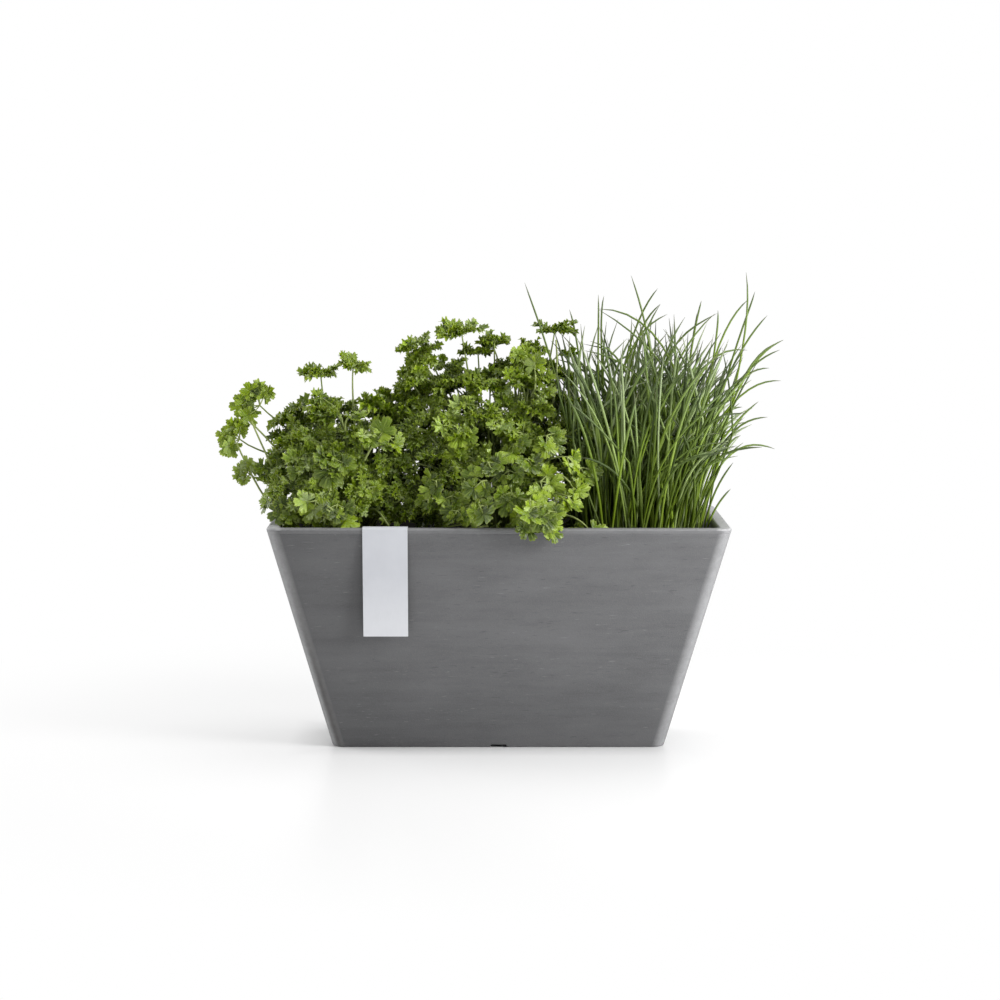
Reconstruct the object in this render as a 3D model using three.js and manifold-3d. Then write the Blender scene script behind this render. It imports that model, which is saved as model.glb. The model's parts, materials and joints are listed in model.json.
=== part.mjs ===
// A trough pot planted with herbs: a moulded pot with leaning walls, a card label folded over its front rim,
// a bed of soil, and two curly parsleys and a clump of chives, each on a root ball of its own.
// Millimetres, +Z up. The origin is the middle of the pot's base, on the surface that it stands on, and the
// front faces -Y. The pieces of the planting are separate from the pot, as they are when it is potted up.

import * as THREE from 'three';
import Module from 'manifold-3d';
import { mergeVertices } from 'three/addons/utils/BufferGeometryUtils.js';

const wasm = await Module();
wasm.setup();

// Pot
const topLength = 300;
const topWidth = 150;
const potHeight = 150;
const wallLean = 15.1; // degrees that every wall leans out
const wallThickness = 8;
const cornerRadius = 9;
const innerCornerRadius = 4;
const rimOuterRound = 1.3;
const rimInnerRound = 1.3;
const baseEdgeRound = 1.3;
const floorTop = 8; // height of the floor inside the pot
const innerFloorRound = 5;

// Foot and drain
const footWidth = 9;
const footHeight = 2;
const drainDiameter = 12;
const notchWidth = 10;
const notchFlare = 2; // how much wider the notch is at the ground

// Label
const labelWidth = 29;
const labelFrontLength = 71; // down the outside of the front wall
const labelBackLength = 17; // down the inside, to just above the soil
const labelThickness = 0.5;
const labelLean = 10; // degrees; the card hangs steeper than the wall behind it
const labelFromEnd = 76.6; // from the left end of the rim to the middle of the card

// Soil and root balls
const fitGap = 0.3; // left between every two pieces that touch
const soilBelowRim = 20;
const soilBumps = 1.2; // height of the unevenness of its top
const soilUnderRoots = 68;
const soilBesideRoots = 3.5; // between an end wall and the root ball next to it
const rootBallRound = 4;
const crownThickness = 4;

// Parsley
const stemBaseRadius = 1.3;
const stemTipRadius = 0.8;
const leafThickness = 1.2;
const leafLobes = 5;
const pointsPerLobe = 3;
const plantGap = 11; // free strip between the two parsleys, where the water is poured in
const plantGapFromCrown = 30; // from the left crown to the middle of the strip

const parsleyLeft = {
  name: 'parsley_left',
  rootRadius: 29,
  rootFootRadius: 23,
  crownRadius: 12,
  canopy: { offset: [-15, 0], rise: 48, reach: [42, 50, 52], sprays: 13, sprayRadius: 19 },
  leaders: [
    // the sprays that give the plant its outline: how far along X and Y from the crown, height over the soil, size
    [-76, -6, 99, 18],
    [-93, 4, 72, 14],
    [-72, -14, 50, 13],
    [-24, 6, 118, 17],
    [-4, -8, 128, 13],
    [-48, -34, 38, 17],
    [-20, -38, 34, 14],
  ],
};

const parsleyMiddle = {
  name: 'parsley_middle',
  crown: [2, 0],
  rootRadius: 29,
  rootFootRadius: 23,
  crownRadius: 13,
  canopy: { offset: [0, 0], rise: 60, reach: [50, 54, 68], sprays: 17, sprayRadius: 20 },
  leaders: [
    [-27, -4, 145, 17],
    [4, 8, 137, 15],
    [36, 2, 146, 15],
    [58, -36, 71, 14],
    [-20, -42, 36, 16],
    [28, -88, 24, 15],
    [-8, -87, 26, 10],
    [12, 88, 26, 13],
  ],
};

// Chives
const chives = {
  name: 'chives',
  rootRadius: 42,
  rootFootRadius: 28,
  tuft: [43, 31], // half length and half width of the clump where it leaves the soil
  bladeTries: 900, // those that would run into another blade or a leaf are left out
  bladeRadius: 1.15,
  bladeLength: 152,
  lengthSpread: 0.52, // the shortest blades are this share shorter
  leanOut: [13, 14], // degrees that the outermost blades lean out, along X and Y
  leanSpread: 12, // degrees either way
  bentShare: 0.25, // blades that have been pushed over
  bend: [40, 95], // degrees that those turn, from foot to tip
  slightBend: 30, // the most that the others turn
  bendGrowth: 2.6, // how fast the turn grows towards the tip
  towardsMiddle: 1 / 3, // share of the blades that bend towards the pot's middle
  longFoot: 0.36, // how far out a long blade's foot stands, as a share of how far out its tip is
  longBlades: [
    // tips of the long blades: how far along X and Y from the crown, height over the soil, how far they sag
    [-74, -8, 172, 0],
    [-27, 0, 163, 0],
    [-6, -12, 177, 0],
    [12, 10, 168, 0],
    [40, 6, 159, 0],
    [50, -10, 154, 0],
    [69, 0, 181, 0],
    [71, 12, 160, 0],
    [75, -14, 166, 0],
    [99, 5, 134, 0],
    [94, -9, 108, 12],
    [92, 0, 66, 26],
    [85, 10, 84, 4],
    [77, -4, 95, 0],
    [67, 5, 79, 8],
    [61, -12, 54, 0],
  ],
};
const bladeClearance = 2; // between a blade and a leaf
const bladeSamples = 30; // points along a blade where its distance from the others is taken
const bladeSteps = 12;

const SEED = 7;

// Colours and finishes
const finishes = {
  pot: { color: 0x6c6d70, roughness: 0.72, metalness: 0 },
  label: { color: 0xd8dce4, roughness: 0.6, metalness: 0 },
  soil: { color: 0x2c2219, roughness: 1, metalness: 0 },
  roots: { color: 0x4a3a2a, roughness: 1, metalness: 0 },
  parsley: { color: 0x5d7d26, roughness: 0.55, metalness: 0 },
  chives: { color: 0x4f6d33, roughness: 0.5, metalness: 0 },
};

const soilLevel = potHeight - soilBelowRim;
const labelCentre = labelFromEnd - topLength / 2;
const lean = THREE.MathUtils.degToRad(wallLean);
const leanSlope = Math.tan(lean);

// Where the centres of the rim's two rounds lie in from the sharp outer edge that the wall and the top would make.
const outerRoundInset = (rimOuterRound * (1 + Math.sin(lean))) / Math.cos(lean);
const innerRoundInset = wallThickness - (rimInnerRound * (1 - Math.sin(lean))) / Math.cos(lean);
const sharpEdgeLost = outerRoundInset - rimOuterRound * Math.cos(lean);

// Shapes

function seededRandom(seed) {
  let state = seed;
  return () => {
    state = (state * 1664525 + 1013904223) % 4294967296;
    return state / 4294967296;
  };
}

// A closed solid through rings of points. Each ring runs anticlockwise seen from the end of the loft, and the last
// may be a single point.
function loft(rings) {
  const points = rings.flat();
  const count = rings[0].length;
  const pointed = rings.at(-1).length === 1;
  const walls = pointed ? rings.length - 2 : rings.length - 1;
  const faces = [];
  for (let level = 0; level < walls; level += 1) {
    for (let i = 0; i < count; i += 1) {
      const next = (i + 1) % count;
      const a = level * count;
      const b = a + count;
      faces.push(a + i, a + next, b + next, a + i, b + next, b + i);
    }
  }
  const top = walls * count;
  const startCentre = points.push(middleOf(rings[0])) - 1;
  const endCentre = pointed ? top + count : points.push(middleOf(rings.at(-1))) - 1;
  for (let i = 0; i < count; i += 1) {
    const next = (i + 1) % count;
    faces.push(startCentre, next, i);
    faces.push(endCentre, top + i, top + next);
  }
  const geometry = new THREE.BufferGeometry().setFromPoints(points);
  geometry.setIndex(faces);
  return geometry;
}

function middleOf(ring) {
  const sum = new THREE.Vector3();
  ring.forEach((point) => sum.add(point));
  return sum.divideScalar(ring.length);
}

function solidOf(geometry) {
  const bare = geometry.clone();
  bare.deleteAttribute('normal');
  bare.deleteAttribute('uv');
  const merged = mergeVertices(bare);
  const mesh = new wasm.Mesh({
    numProp: 3,
    vertProperties: Float32Array.from(merged.attributes.position.array),
    triVerts: Uint32Array.from(merged.index.array),
  });
  return new wasm.Manifold(mesh);
}

function geometryOf(solid) {
  const mesh = solid.getMesh();
  const geometry = new THREE.BufferGeometry();
  geometry.setAttribute('position', new THREE.BufferAttribute(Float32Array.from(mesh.vertProperties), 3));
  geometry.setIndex(Array.from(mesh.triVerts));
  return geometry;
}

function joined(geometries) {
  return geometryOf(geometries.map(solidOf).reduce((whole, piece) => whole.add(piece)));
}

function cutFrom(body, cutters) {
  return geometryOf(cutters.map(solidOf).reduce((whole, cutter) => whole.subtract(cutter), solidOf(body)));
}

function piece(name, geometry, finish) {
  const mesh = new THREE.Mesh(geometry, new THREE.MeshStandardMaterial(finish));
  mesh.name = name;
  return mesh;
}

// Pot

// The pot's plan at a height, drawn in from its outer face: a rectangle with round corners.
function potSection(height, inset, radius = cornerRadius, edgeSteps = 1, cornerSteps = 5) {
  const drawnIn = (potHeight - height) * leanSlope + inset - sharpEdgeLost;
  const halfLength = topLength / 2 - drawnIn;
  const halfWidth = topWidth / 2 - drawnIn;
  const ring = [];
  const corners = [
    [1, -1, -90],
    [1, 1, 0],
    [-1, 1, 90],
    [-1, -1, 180],
  ];
  corners.forEach(([sideX, sideY, startAngle]) => {
    for (let step = 0; step <= cornerSteps; step += 1) {
      const angle = THREE.MathUtils.degToRad(startAngle + (90 * step) / cornerSteps);
      const x = sideX * (halfLength - radius) + radius * Math.cos(angle);
      const y = sideY * (halfWidth - radius) + radius * Math.sin(angle);
      ring.push(new THREE.Vector3(x, y, height));
    }
  });
  return edgeSteps === 1 ? ring : withEdgesDivided(ring, cornerSteps + 1, edgeSteps);
}

function withEdgesDivided(ring, pointsPerCorner, edgeSteps) {
  const divided = [];
  ring.forEach((point, i) => {
    divided.push(point);
    if (i % pointsPerCorner === pointsPerCorner - 1) {
      const next = ring[(i + 1) % ring.length];
      for (let step = 1; step < edgeSteps; step += 1) {
        divided.push(point.clone().lerp(next, step / edgeSteps));
      }
    }
  });
  return divided;
}

// Heights and insets along the quarter circle that rounds a bottom edge, from the ground up.
function roundSteps(radius, steps) {
  return Array.from({ length: steps + 1 }, (_, i) => {
    const angle = ((Math.PI / 2) * i) / steps;
    return { rise: radius * (1 - Math.cos(angle)), inset: radius * (1 - Math.sin(angle)) };
  });
}

// The rim's two rounds in a wall's section, at a distance from the wall. x runs inwards from the sharp outer edge
// and y up from the rim's top. The outer round starts where a face at the outer lean meets it.
function rimRounds(distance, outerLean = lean) {
  const outerCentre = new THREE.Vector2(outerRoundInset, -rimOuterRound);
  const innerCentre = new THREE.Vector2(innerRoundInset, -rimInnerRound);
  return {
    outer: arc(outerCentre, rimOuterRound + distance, Math.PI + outerLean, Math.PI / 2, 4),
    inner: arc(innerCentre, rimInnerRound + distance, Math.PI / 2, lean, 3),
  };
}

function arc(centre, radius, fromAngle, toAngle, steps) {
  return Array.from({ length: steps + 1 }, (_, i) => {
    const angle = fromAngle + ((toAngle - fromAngle) * i) / steps;
    return new THREE.Vector2(centre.x + radius * Math.cos(angle), centre.y + radius * Math.sin(angle));
  });
}

// How far in from the leaning outer face a point of the wall's section lies.
function insetOf(point) {
  return point.x + point.y * leanSlope;
}

function potOuterBody() {
  const base = roundSteps(baseEdgeRound, 3);
  const rim = rimRounds(0).outer;
  return loft([
    ...base.map(({ rise, inset }) => potSection(rise, inset, cornerRadius - inset)),
    ...rim.map((point) => potSection(potHeight + point.y, insetOf(point), cornerRadius - insetOf(point))),
  ]);
}

// The hollow inside the walls, or what fills it with a gap all round, up to a height.
function potHollow(upTo, gap, edgeSteps = 1) {
  const floorRound = roundSteps(innerFloorRound, 3);
  return [
    ...floorRound.map(({ rise, inset }) => hollowSection(floorTop + gap + rise, inset + gap, edgeSteps)),
    hollowSection(upTo, gap, edgeSteps),
  ];
}

function hollowSection(height, extraInset, edgeSteps = 1) {
  const radius = Math.max(innerCornerRadius - extraInset, innerCornerRadius / 2);
  return potSection(height, wallThickness + extraInset, radius, edgeSteps);
}

function potCavity() {
  const [edge, ...rest] = rimRounds(0).inner.reverse();
  const mouth = rest.map((point) => hollowSection(potHeight + point.y, insetOf(point) - wallThickness));
  const overTheTop = hollowSection(potHeight + 1, insetOf(rest.at(-1)) - wallThickness);
  return loft([...potHollow(potHeight + edge.y, 0), ...mouth, overTheTop]);
}

function footRecess() {
  const underneath = potSection(-1, footWidth, innerCornerRadius);
  const ceiling = potSection(footHeight, footWidth, innerCornerRadius);
  return loft([underneath, ceiling]);
}

function drainHole() {
  const hole = new THREE.CylinderGeometry(drainDiameter / 2, drainDiameter / 2, 2 * floorTop, 24);
  hole.rotateX(Math.PI / 2);
  hole.translate(0, 0, floorTop / 2);
  return hole;
}

// One flared bar right across the base leaves a notch in the foot at the front and at the back.
function drainNotch() {
  const groundHalf = (notchWidth + notchFlare) / 2;
  const topHalf = notchWidth / 2;
  const profile = new THREE.Shape([
    new THREE.Vector2(-groundHalf, -1),
    new THREE.Vector2(groundHalf, -1),
    new THREE.Vector2(topHalf, footHeight),
    new THREE.Vector2(-topHalf, footHeight),
  ]);
  const bar = new THREE.ExtrudeGeometry(profile, { depth: topWidth, bevelEnabled: false });
  bar.rotateX(Math.PI / 2);
  bar.translate(0, topWidth / 2, 0);
  return bar;
}

function potShell() {
  const shell = cutFrom(potOuterBody(), [potCavity(), footRecess(), drainHole(), drainNotch()]);
  return piece('pot_shell', shell, finishes.pot);
}

// Label

// The card's face in the front wall's section: up the outside, over the rim and down the inside.
function pathOverRim(distance) {
  const frontLean = THREE.MathUtils.degToRad(labelLean);
  const { outer, inner } = rimRounds(distance, frontLean);
  return [
    belowAt(outer[0], frontLean, labelFrontLength),
    ...outer,
    ...inner,
    belowAt(inner.at(-1), lean, labelBackLength),
  ];
}

// The end of a straight stretch that runs down from a point at a lean.
function belowAt(start, tilt, length) {
  return new THREE.Vector2(start.x + length * Math.sin(tilt), start.y - length * Math.cos(tilt));
}

function frontLabel() {
  const inside = pathOverRim(fitGap);
  const outside = pathOverRim(fitGap + labelThickness);
  const section = new THREE.Shape([...outside, ...inside.reverse()]);
  const card = new THREE.ExtrudeGeometry(section, { depth: labelWidth, bevelEnabled: false });
  card.rotateX(Math.PI / 2);
  card.rotateZ(Math.PI / 2);
  card.translate(labelCentre - labelWidth / 2, -topWidth / 2 - sharpEdgeLost, potHeight);
  return piece('front_label', card, finishes.label);
}

// Soil and root balls

function soilHeightAt(x, y) {
  const longWaves = Math.sin(x * 0.13 + 1.3) * Math.cos(y * 0.19);
  const shortWaves = 0.5 * Math.sin(x * 0.37 + y * 0.29);
  return soilLevel + soilBumps * (longWaves + shortWaves);
}

function soilBed() {
  const edgeSteps = 4;
  const sides = potHollow(soilLevel - 2 * soilBumps, fitGap, edgeSteps);
  const rim = sides.at(-1);
  const top = [1, 0.82, 0.62, 0.4, 0.18].map((share) =>
    rim.map((point) => {
      const x = point.x * share;
      const y = point.y * share;
      return new THREE.Vector3(x, y, soilHeightAt(x, y));
    }),
  );
  return loft([...sides, ...top]);
}

function disc([centreX, centreY], radius, height, sides = 20) {
  return Array.from({ length: sides }, (_, i) => {
    const angle = (2 * Math.PI * i) / sides;
    const x = centreX + radius * Math.cos(angle);
    const y = centreY + radius * Math.sin(angle);
    return new THREE.Vector3(x, y, height);
  });
}

function rootBallShape(plant, gap) {
  const bottom = floorTop + soilUnderRoots - gap;
  const bottomRadius = plant.rootFootRadius + gap;
  const topRadius = plant.rootRadius + gap;
  const footRound = roundSteps(rootBallRound, 3);
  const top = soilLevel + 2 * soilBumps;
  return loft([
    ...footRound.map(({ rise, inset }) => disc(plant.crown, bottomRadius - inset, bottom + rise)),
    disc(plant.crown, topRadius, top - soilBumps),
    disc(plant.crown, topRadius - soilBumps, top + (gap > 0 ? rootBallRound : 0)),
  ]);
}

function pottingSoil(plants) {
  const pockets = plants.map((plant) => rootBallShape(plant, fitGap));
  return piece('potting_soil', cutFrom(soilBed(), pockets), finishes.soil);
}

// How far from the pot's middle a root ball stands when only a little soil is left between it and the end wall.
function endCrown(plant) {
  const atFoot = hollowHalfLength(floorTop + soilUnderRoots) - plant.rootFootRadius;
  const atTop = hollowHalfLength(soilLevel) - plant.rootRadius;
  return Math.min(atFoot, atTop) - soilBesideRoots;
}

function hollowHalfLength(height) {
  return topLength / 2 + sharpEdgeLost - wallThickness - (potHeight - height) * leanSlope;
}

function rootBall(plant) {
  return piece(`${plant.name}_rootball`, rootBallShape(plant, 0), finishes.roots);
}

// Height of the foot of a crown, which sits on its root ball.
const crownFoot = soilLevel + 2 * soilBumps + fitGap;

// Parsley

// A round tapering stalk along a curve, closed at its thick end and at its thin end.
function stalk(curve, startRadius, endRadius, sides, steps) {
  const rings = [];
  const side = new THREE.Vector3(1, 0, 0);
  for (let step = 0; step <= steps; step += 1) {
    const t = step / steps;
    const centre = curve.getPoint(t);
    const along = curve.getTangent(t);
    side.addScaledVector(along, -side.dot(along)).normalize();
    const across = new THREE.Vector3().crossVectors(along, side);
    const radius = startRadius + (endRadius - startRadius) * t;
    rings.push(ringAround(centre, side, across, radius, sides));
  }
  return rings;
}

function ringAround(centre, side, across, radius, sides) {
  return Array.from({ length: sides }, (_, i) => {
    const angle = (2 * Math.PI * i) / sides;
    const point = centre.clone();
    point.addScaledVector(side, radius * Math.cos(angle));
    point.addScaledVector(across, radius * Math.sin(angle));
    return point;
  });
}

// A parsley leaf as one curled plate: lobes and teeth round its edge, a ruffle that grows outwards, and a droop.
function leafPlate(centre, facing, radius, turn) {
  const side = new THREE.Vector3(0, 0, 1).cross(facing);
  if (side.lengthSq() < 0.01) side.set(1, 0, 0);
  side.normalize();
  const across = new THREE.Vector3().crossVectors(facing, side);
  const outline = (share, lift) =>
    Array.from({ length: leafLobes * pointsPerLobe }, (_, i) => {
      const angle = (2 * Math.PI * i) / (leafLobes * pointsPerLobe) + turn;
      const lobe = 0.76 + 0.24 * Math.cos(leafLobes * (angle - turn) + Math.PI / 3);
      const reach = radius * share * (1 + (lobe - 1) * share);
      const ruffle = 0.16 * radius * share * share * Math.sin(3 * angle + turn);
      const droop = 0.3 * radius * share * share;
      return centre
        .clone()
        .addScaledVector(side, reach * Math.cos(angle))
        .addScaledVector(across, reach * Math.sin(angle))
        .addScaledVector(facing, lift + ruffle - droop);
    });
  const half = leafThickness / 2;
  return loft([outline(0.5, -half), outline(1, -half), outline(1, half), outline(0.5, half)]);
}

function leaderSites(plant) {
  return plant.leaders.map(([alongX, alongY, height, radius]) => ({
    at: new THREE.Vector3(plant.crown[0] + alongX, plant.crown[1] + alongY, crownFoot + height),
    radius,
  }));
}

// Sprays spread evenly over a dome round the crown, by the golden angle.
function canopySites(plant) {
  const { offset, rise, reach, sprays, sprayRadius } = plant.canopy;
  const goldenAngle = Math.PI * (3 - Math.sqrt(5));
  return Array.from({ length: sprays }, (_, i) => {
    const up = 0.06 + 0.9 * ((i + 0.5) / sprays);
    const out = Math.sqrt(1 - up * up);
    const angle = i * goldenAngle;
    const x = plant.crown[0] + offset[0] + reach[0] * out * Math.cos(angle);
    const y = plant.crown[1] + offset[1] + reach[1] * out * Math.sin(angle);
    return { at: new THREE.Vector3(x, y, crownFoot + rise + reach[2] * up), radius: sprayRadius };
  });
}

function leafSites(plant) {
  const [lowX, highX] = plant.between;
  return [...leaderSites(plant), ...canopySites(plant)].map(({ at, radius }) => {
    const reach = radius + leafThickness;
    at.x = THREE.MathUtils.clamp(at.x, lowX + reach, highX - reach);
    return { at, radius };
  });
}

function stemCurve(plant, tip) {
  const foot = new THREE.Vector3(plant.crown[0], plant.crown[1], crownFoot + crownThickness / 2);
  const lean = tip.clone().sub(foot).setZ(0);
  foot.addScaledVector(lean.clone().normalize(), Math.min(plant.crownRadius * 0.6, lean.length()));
  const bend = foot.clone().lerp(tip, 0.35);
  bend.z = foot.z + (tip.z - foot.z) * 0.75 + 0.25 * lean.length();
  return new THREE.QuadraticBezierCurve3(foot, bend, tip);
}

// The way a leaf faces: away from the plant's heart and mostly up, or outwards where it hangs over the rim.
function leafFacing(plant, at) {
  const heart = new THREE.Vector3(plant.crown[0], plant.crown[1], crownFoot + plant.canopy.rise / 2);
  const facing = at.clone().sub(heart).normalize();
  const overRim = Math.abs(at.y) > topWidth / 2;
  facing.z = overRim ? facing.z : Math.max(facing.z, 0.2);
  return facing.normalize();
}

function crownDisc(plant, radiusX, radiusY) {
  const ring = (share, height) =>
    disc([0, 0], share, height).map((point) => {
      point.x = point.x * radiusX + plant.crown[0];
      point.y = point.y * radiusY + plant.crown[1];
      return point;
    });
  return loft([
    ring(0.94, crownFoot),
    ring(1, crownFoot + crownThickness / 2),
    ring(0.8, crownFoot + crownThickness),
  ]);
}

function parsleyPlant(plant) {
  const random = seededRandom(SEED);
  const parts = [crownDisc(plant, plant.crownRadius, plant.crownRadius)];
  leafSites(plant).forEach(({ at, radius }) => {
    parts.push(loft(stalk(stemCurve(plant, at), stemBaseRadius, stemTipRadius, 3, 3)));
    parts.push(leafPlate(at, leafFacing(plant, at), radius, random() * Math.PI));
  });
  return piece(plant.name, joined(parts), finishes.parsley);
}

// Chives

// What the blades keep clear of: points on the middle parsley's leaves and stems, and how far off a blade stays.
function obstaclesOf(plant) {
  return leafSites(plant).flatMap(({ at, radius }) => [
    { at, reach: radius + bladeClearance },
    ...stemCurve(plant, at)
      .getPoints(6)
      .map((point) => ({ at: point, reach: stemBaseRadius + bladeClearance })),
  ]);
}

// A blade as a walk up from its foot: it starts at a lean and turns a little more at every step.
function bladeCurve(foot, random) {
  const stride = (chives.bladeLength * (1 - chives.lengthSpread * random())) / bladeSteps;
  const isBent = random() < chives.bentShare;
  const [leastBend, mostBend] = isBent ? chives.bend : [0, chives.slightBend];
  const bend = leastBend + (mostBend - leastBend) * random();
  const side = random() < chives.towardsMiddle ? -1 : 1;
  const alongX = side * (0.5 + 0.5 * random());
  const [leanX, leanY] = [0, 1].map((axis) => {
    const share = (foot.getComponent(axis) - chives.crown[axis]) / chives.tuft[axis];
    return share * chives.leanOut[axis] + chives.leanSpread * (2 * random() - 1);
  });
  const points = [foot];
  for (let step = 1; step <= bladeSteps; step += 1) {
    const turned = bend * (step / bladeSteps) ** chives.bendGrowth;
    const tiltX = THREE.MathUtils.degToRad(leanX + turned * alongX);
    const tiltY = THREE.MathUtils.degToRad(leanY + turned * (1 - Math.abs(alongX)));
    const direction = new THREE.Vector3(Math.sin(tiltX), Math.sin(tiltY), Math.cos(tiltX)).normalize();
    points.push(points.at(-1).clone().addScaledVector(direction, stride));
  }
  return { curve: new THREE.CatmullRomCurve3(points), steps: isBent ? 4 : 2 };
}

// A long blade rises steeply from its foot, leans out to its tip, and may sag on the way.
function longBladeCurve([alongX, alongY, height, sag]) {
  const foot = bladeFoot(chives.longFoot * alongX, alongY);
  const tip = new THREE.Vector3(chives.crown[0] + alongX, chives.crown[1] + alongY, crownFoot + height);
  const rise = tip.z - foot.z;
  const low = foot.clone().lerp(tip, 0.15);
  const high = foot.clone().lerp(tip, 0.62);
  low.z += 0.25 * rise;
  high.z += 0.16 * rise + 2.2 * sag;
  return { curve: new THREE.CubicBezierCurve3(foot, low, high, tip), steps: 4 };
}

function bladeFoot(alongX, alongY) {
  const [crownX, crownY] = chives.crown;
  return new THREE.Vector3(crownX + alongX, crownY + alongY, crownFoot + crownThickness / 2);
}

function isClear(points, obstacles) {
  return points.every((point) => obstacles.every(({ at, reach }) => point.distanceTo(at) > reach));
}

// Feet spread evenly over the clump, by the golden angle, each blade with a length, a lean and a bend of its own.
function tuftCurves() {
  const random = seededRandom(SEED);
  const goldenAngle = Math.PI * (3 - Math.sqrt(5));
  const inside = 1 - chives.bladeRadius / Math.min(...chives.tuft) - 0.12;
  return Array.from({ length: chives.bladeTries }, (_, i) => {
    const share = inside * Math.sqrt((i + 0.5) / chives.bladeTries);
    const angle = i * goldenAngle;
    const alongX = chives.tuft[0] * share * Math.cos(angle);
    const alongY = chives.tuft[1] * share * Math.sin(angle);
    return bladeCurve(bladeFoot(alongX, alongY), random);
  });
}

// The blades that have room, the long ones first.
function bladesWithRoom(obstacles) {
  const taken = [...obstacles];
  const reach = 2 * chives.bladeRadius + fitGap;
  return [...chives.longBlades.map(longBladeCurve), ...tuftCurves()].filter(({ curve }) => {
    const points = curve.getPoints(bladeSamples);
    const hasRoom = isClear(points, taken);
    if (hasRoom) taken.push(...points.map((at) => ({ at, reach })));
    return hasRoom;
  });
}

function chivesClump(obstacles) {
  const blades = bladesWithRoom(obstacles).map(({ curve, steps }) => {
    const rings = stalk(curve, chives.bladeRadius, chives.bladeRadius, 3, steps);
    rings[steps] = [curve.getPoint(1)];
    return loft(rings);
  });
  const crown = crownDisc(chives, ...chives.tuft);
  return piece(chives.name, joined([crown, ...blades]), finishes.chives);
}

// The whole planted trough

parsleyLeft.crown = [-endCrown(parsleyLeft), 0];
chives.crown = [endCrown(chives), 0];

const plantGapCentre = parsleyLeft.crown[0] + plantGapFromCrown;
parsleyLeft.between = [-Infinity, plantGapCentre - plantGap / 2];
parsleyMiddle.between = [plantGapCentre + plantGap / 2, Infinity];
const plants = [parsleyLeft, parsleyMiddle, chives];

const trough = new THREE.Group();
trough.add(potShell());
trough.add(frontLabel());
trough.add(pottingSoil(plants));
plants.forEach((plant) => trough.add(rootBall(plant)));
trough.add(parsleyPlant(parsleyLeft));
trough.add(parsleyPlant(parsleyMiddle));
trough.add(chivesClump(obstaclesOf(parsleyMiddle)));

export default trough;
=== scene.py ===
# %% [markdown]
# # A trough of herbs
# This script dresses a plain solid model of a planted trough until it looks like the real thing. The pot is
# a moulded tub of mineral-filled plastic with leaning walls. A strip of card hangs over its rim, and two
# curly parsleys and a clump of chives grow in it. The solid model is loaded first and stays where it is.
# Every new piece is made in the same frame and says which body it moves with, and a plain solid that a
# piece stands for is hidden.

# %% The frame
import json
import math
import random

import bmesh
import bpy
from mathutils import Euler, Matrix, Quaternion, Vector

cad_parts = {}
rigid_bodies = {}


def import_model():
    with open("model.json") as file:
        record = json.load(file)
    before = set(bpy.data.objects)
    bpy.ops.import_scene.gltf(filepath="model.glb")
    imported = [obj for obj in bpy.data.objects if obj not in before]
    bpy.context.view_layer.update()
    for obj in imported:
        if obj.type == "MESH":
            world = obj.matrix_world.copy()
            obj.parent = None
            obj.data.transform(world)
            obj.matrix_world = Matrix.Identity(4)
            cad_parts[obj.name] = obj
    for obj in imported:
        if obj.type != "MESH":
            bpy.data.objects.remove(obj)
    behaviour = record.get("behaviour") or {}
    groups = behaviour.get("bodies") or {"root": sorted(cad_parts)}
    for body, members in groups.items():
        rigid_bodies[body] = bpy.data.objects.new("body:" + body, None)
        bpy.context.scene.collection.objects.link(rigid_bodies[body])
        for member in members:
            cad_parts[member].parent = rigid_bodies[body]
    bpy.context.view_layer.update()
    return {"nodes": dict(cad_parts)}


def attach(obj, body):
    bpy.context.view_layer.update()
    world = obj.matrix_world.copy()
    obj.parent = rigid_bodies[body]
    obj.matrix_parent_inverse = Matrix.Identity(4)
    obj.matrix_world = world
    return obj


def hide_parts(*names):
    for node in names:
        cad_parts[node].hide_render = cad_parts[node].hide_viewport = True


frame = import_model()
print("solids:", sorted(frame["nodes"]))

# %% [markdown]
# # Helpers
# A few things are done again and again: points in millimetres and faces become an object in metres, every
# point of a mesh gets a value that a tree or a material reads later, and a piece is shaded smoothly. Each
# gets one short function, so that the cells that follow can talk about the pot and the plants.

# %% Helpers
MM = 0.001
GOLDEN_ANGLE = math.pi * (3 - math.sqrt(5))


def in_scene(name, data):
    """A new object in the scene, at the origin."""
    thing = bpy.data.objects.new(name, data)
    bpy.context.scene.collection.objects.link(thing)
    return thing


def mesh_piece(name, points, faces=(), edges=(), material=None):
    """An object whose place is in its mesh, made from points in millimetres."""
    mesh = bpy.data.meshes.new(name)
    mesh.from_pydata([tuple(point * MM) for point in points], edges, faces)
    if material:
        mesh.materials.append(material)
    return in_scene(name, mesh)


def write_values(mesh, name, kind, values):
    """Gives every point of a mesh a value that trees and materials read by its name."""
    field = "vector" if kind == "FLOAT_VECTOR" else "value"
    mesh.attributes.new(name, kind, "POINT").data.foreach_set(field, values)


def shade_smooth(piece, sharp_from):
    """Shades a piece smoothly, except at edges that turn by more than so many degrees."""
    mesh = piece.data
    mesh.polygons.foreach_set("use_smooth", [True] * len(mesh.polygons))
    mesh.set_sharp_from_angle(angle=math.radians(sharp_from))


def circle(radius, height, count, start=0.0):
    """Points round a circle about the pot's upright axis."""
    angles = [start + math.tau * i / count for i in range(count)]
    return [Vector((radius * math.cos(angle), radius * math.sin(angle), height)) for angle in angles]


def top_of(name):
    """The middle of a solid's top, in millimetres."""
    solid = frame["nodes"][name]
    places = [solid.matrix_world @ vertex.co / MM for vertex in solid.data.vertices]
    low, high = [[end(place[i] for place in places) for i in range(3)] for end in (min, max)]
    return Vector(((low[0] + high[0]) / 2, (low[1] + high[1]) / 2, high[2]))


def clamped(value, low=0.0, high=1.0):
    return max(low, min(value, high))


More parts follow.
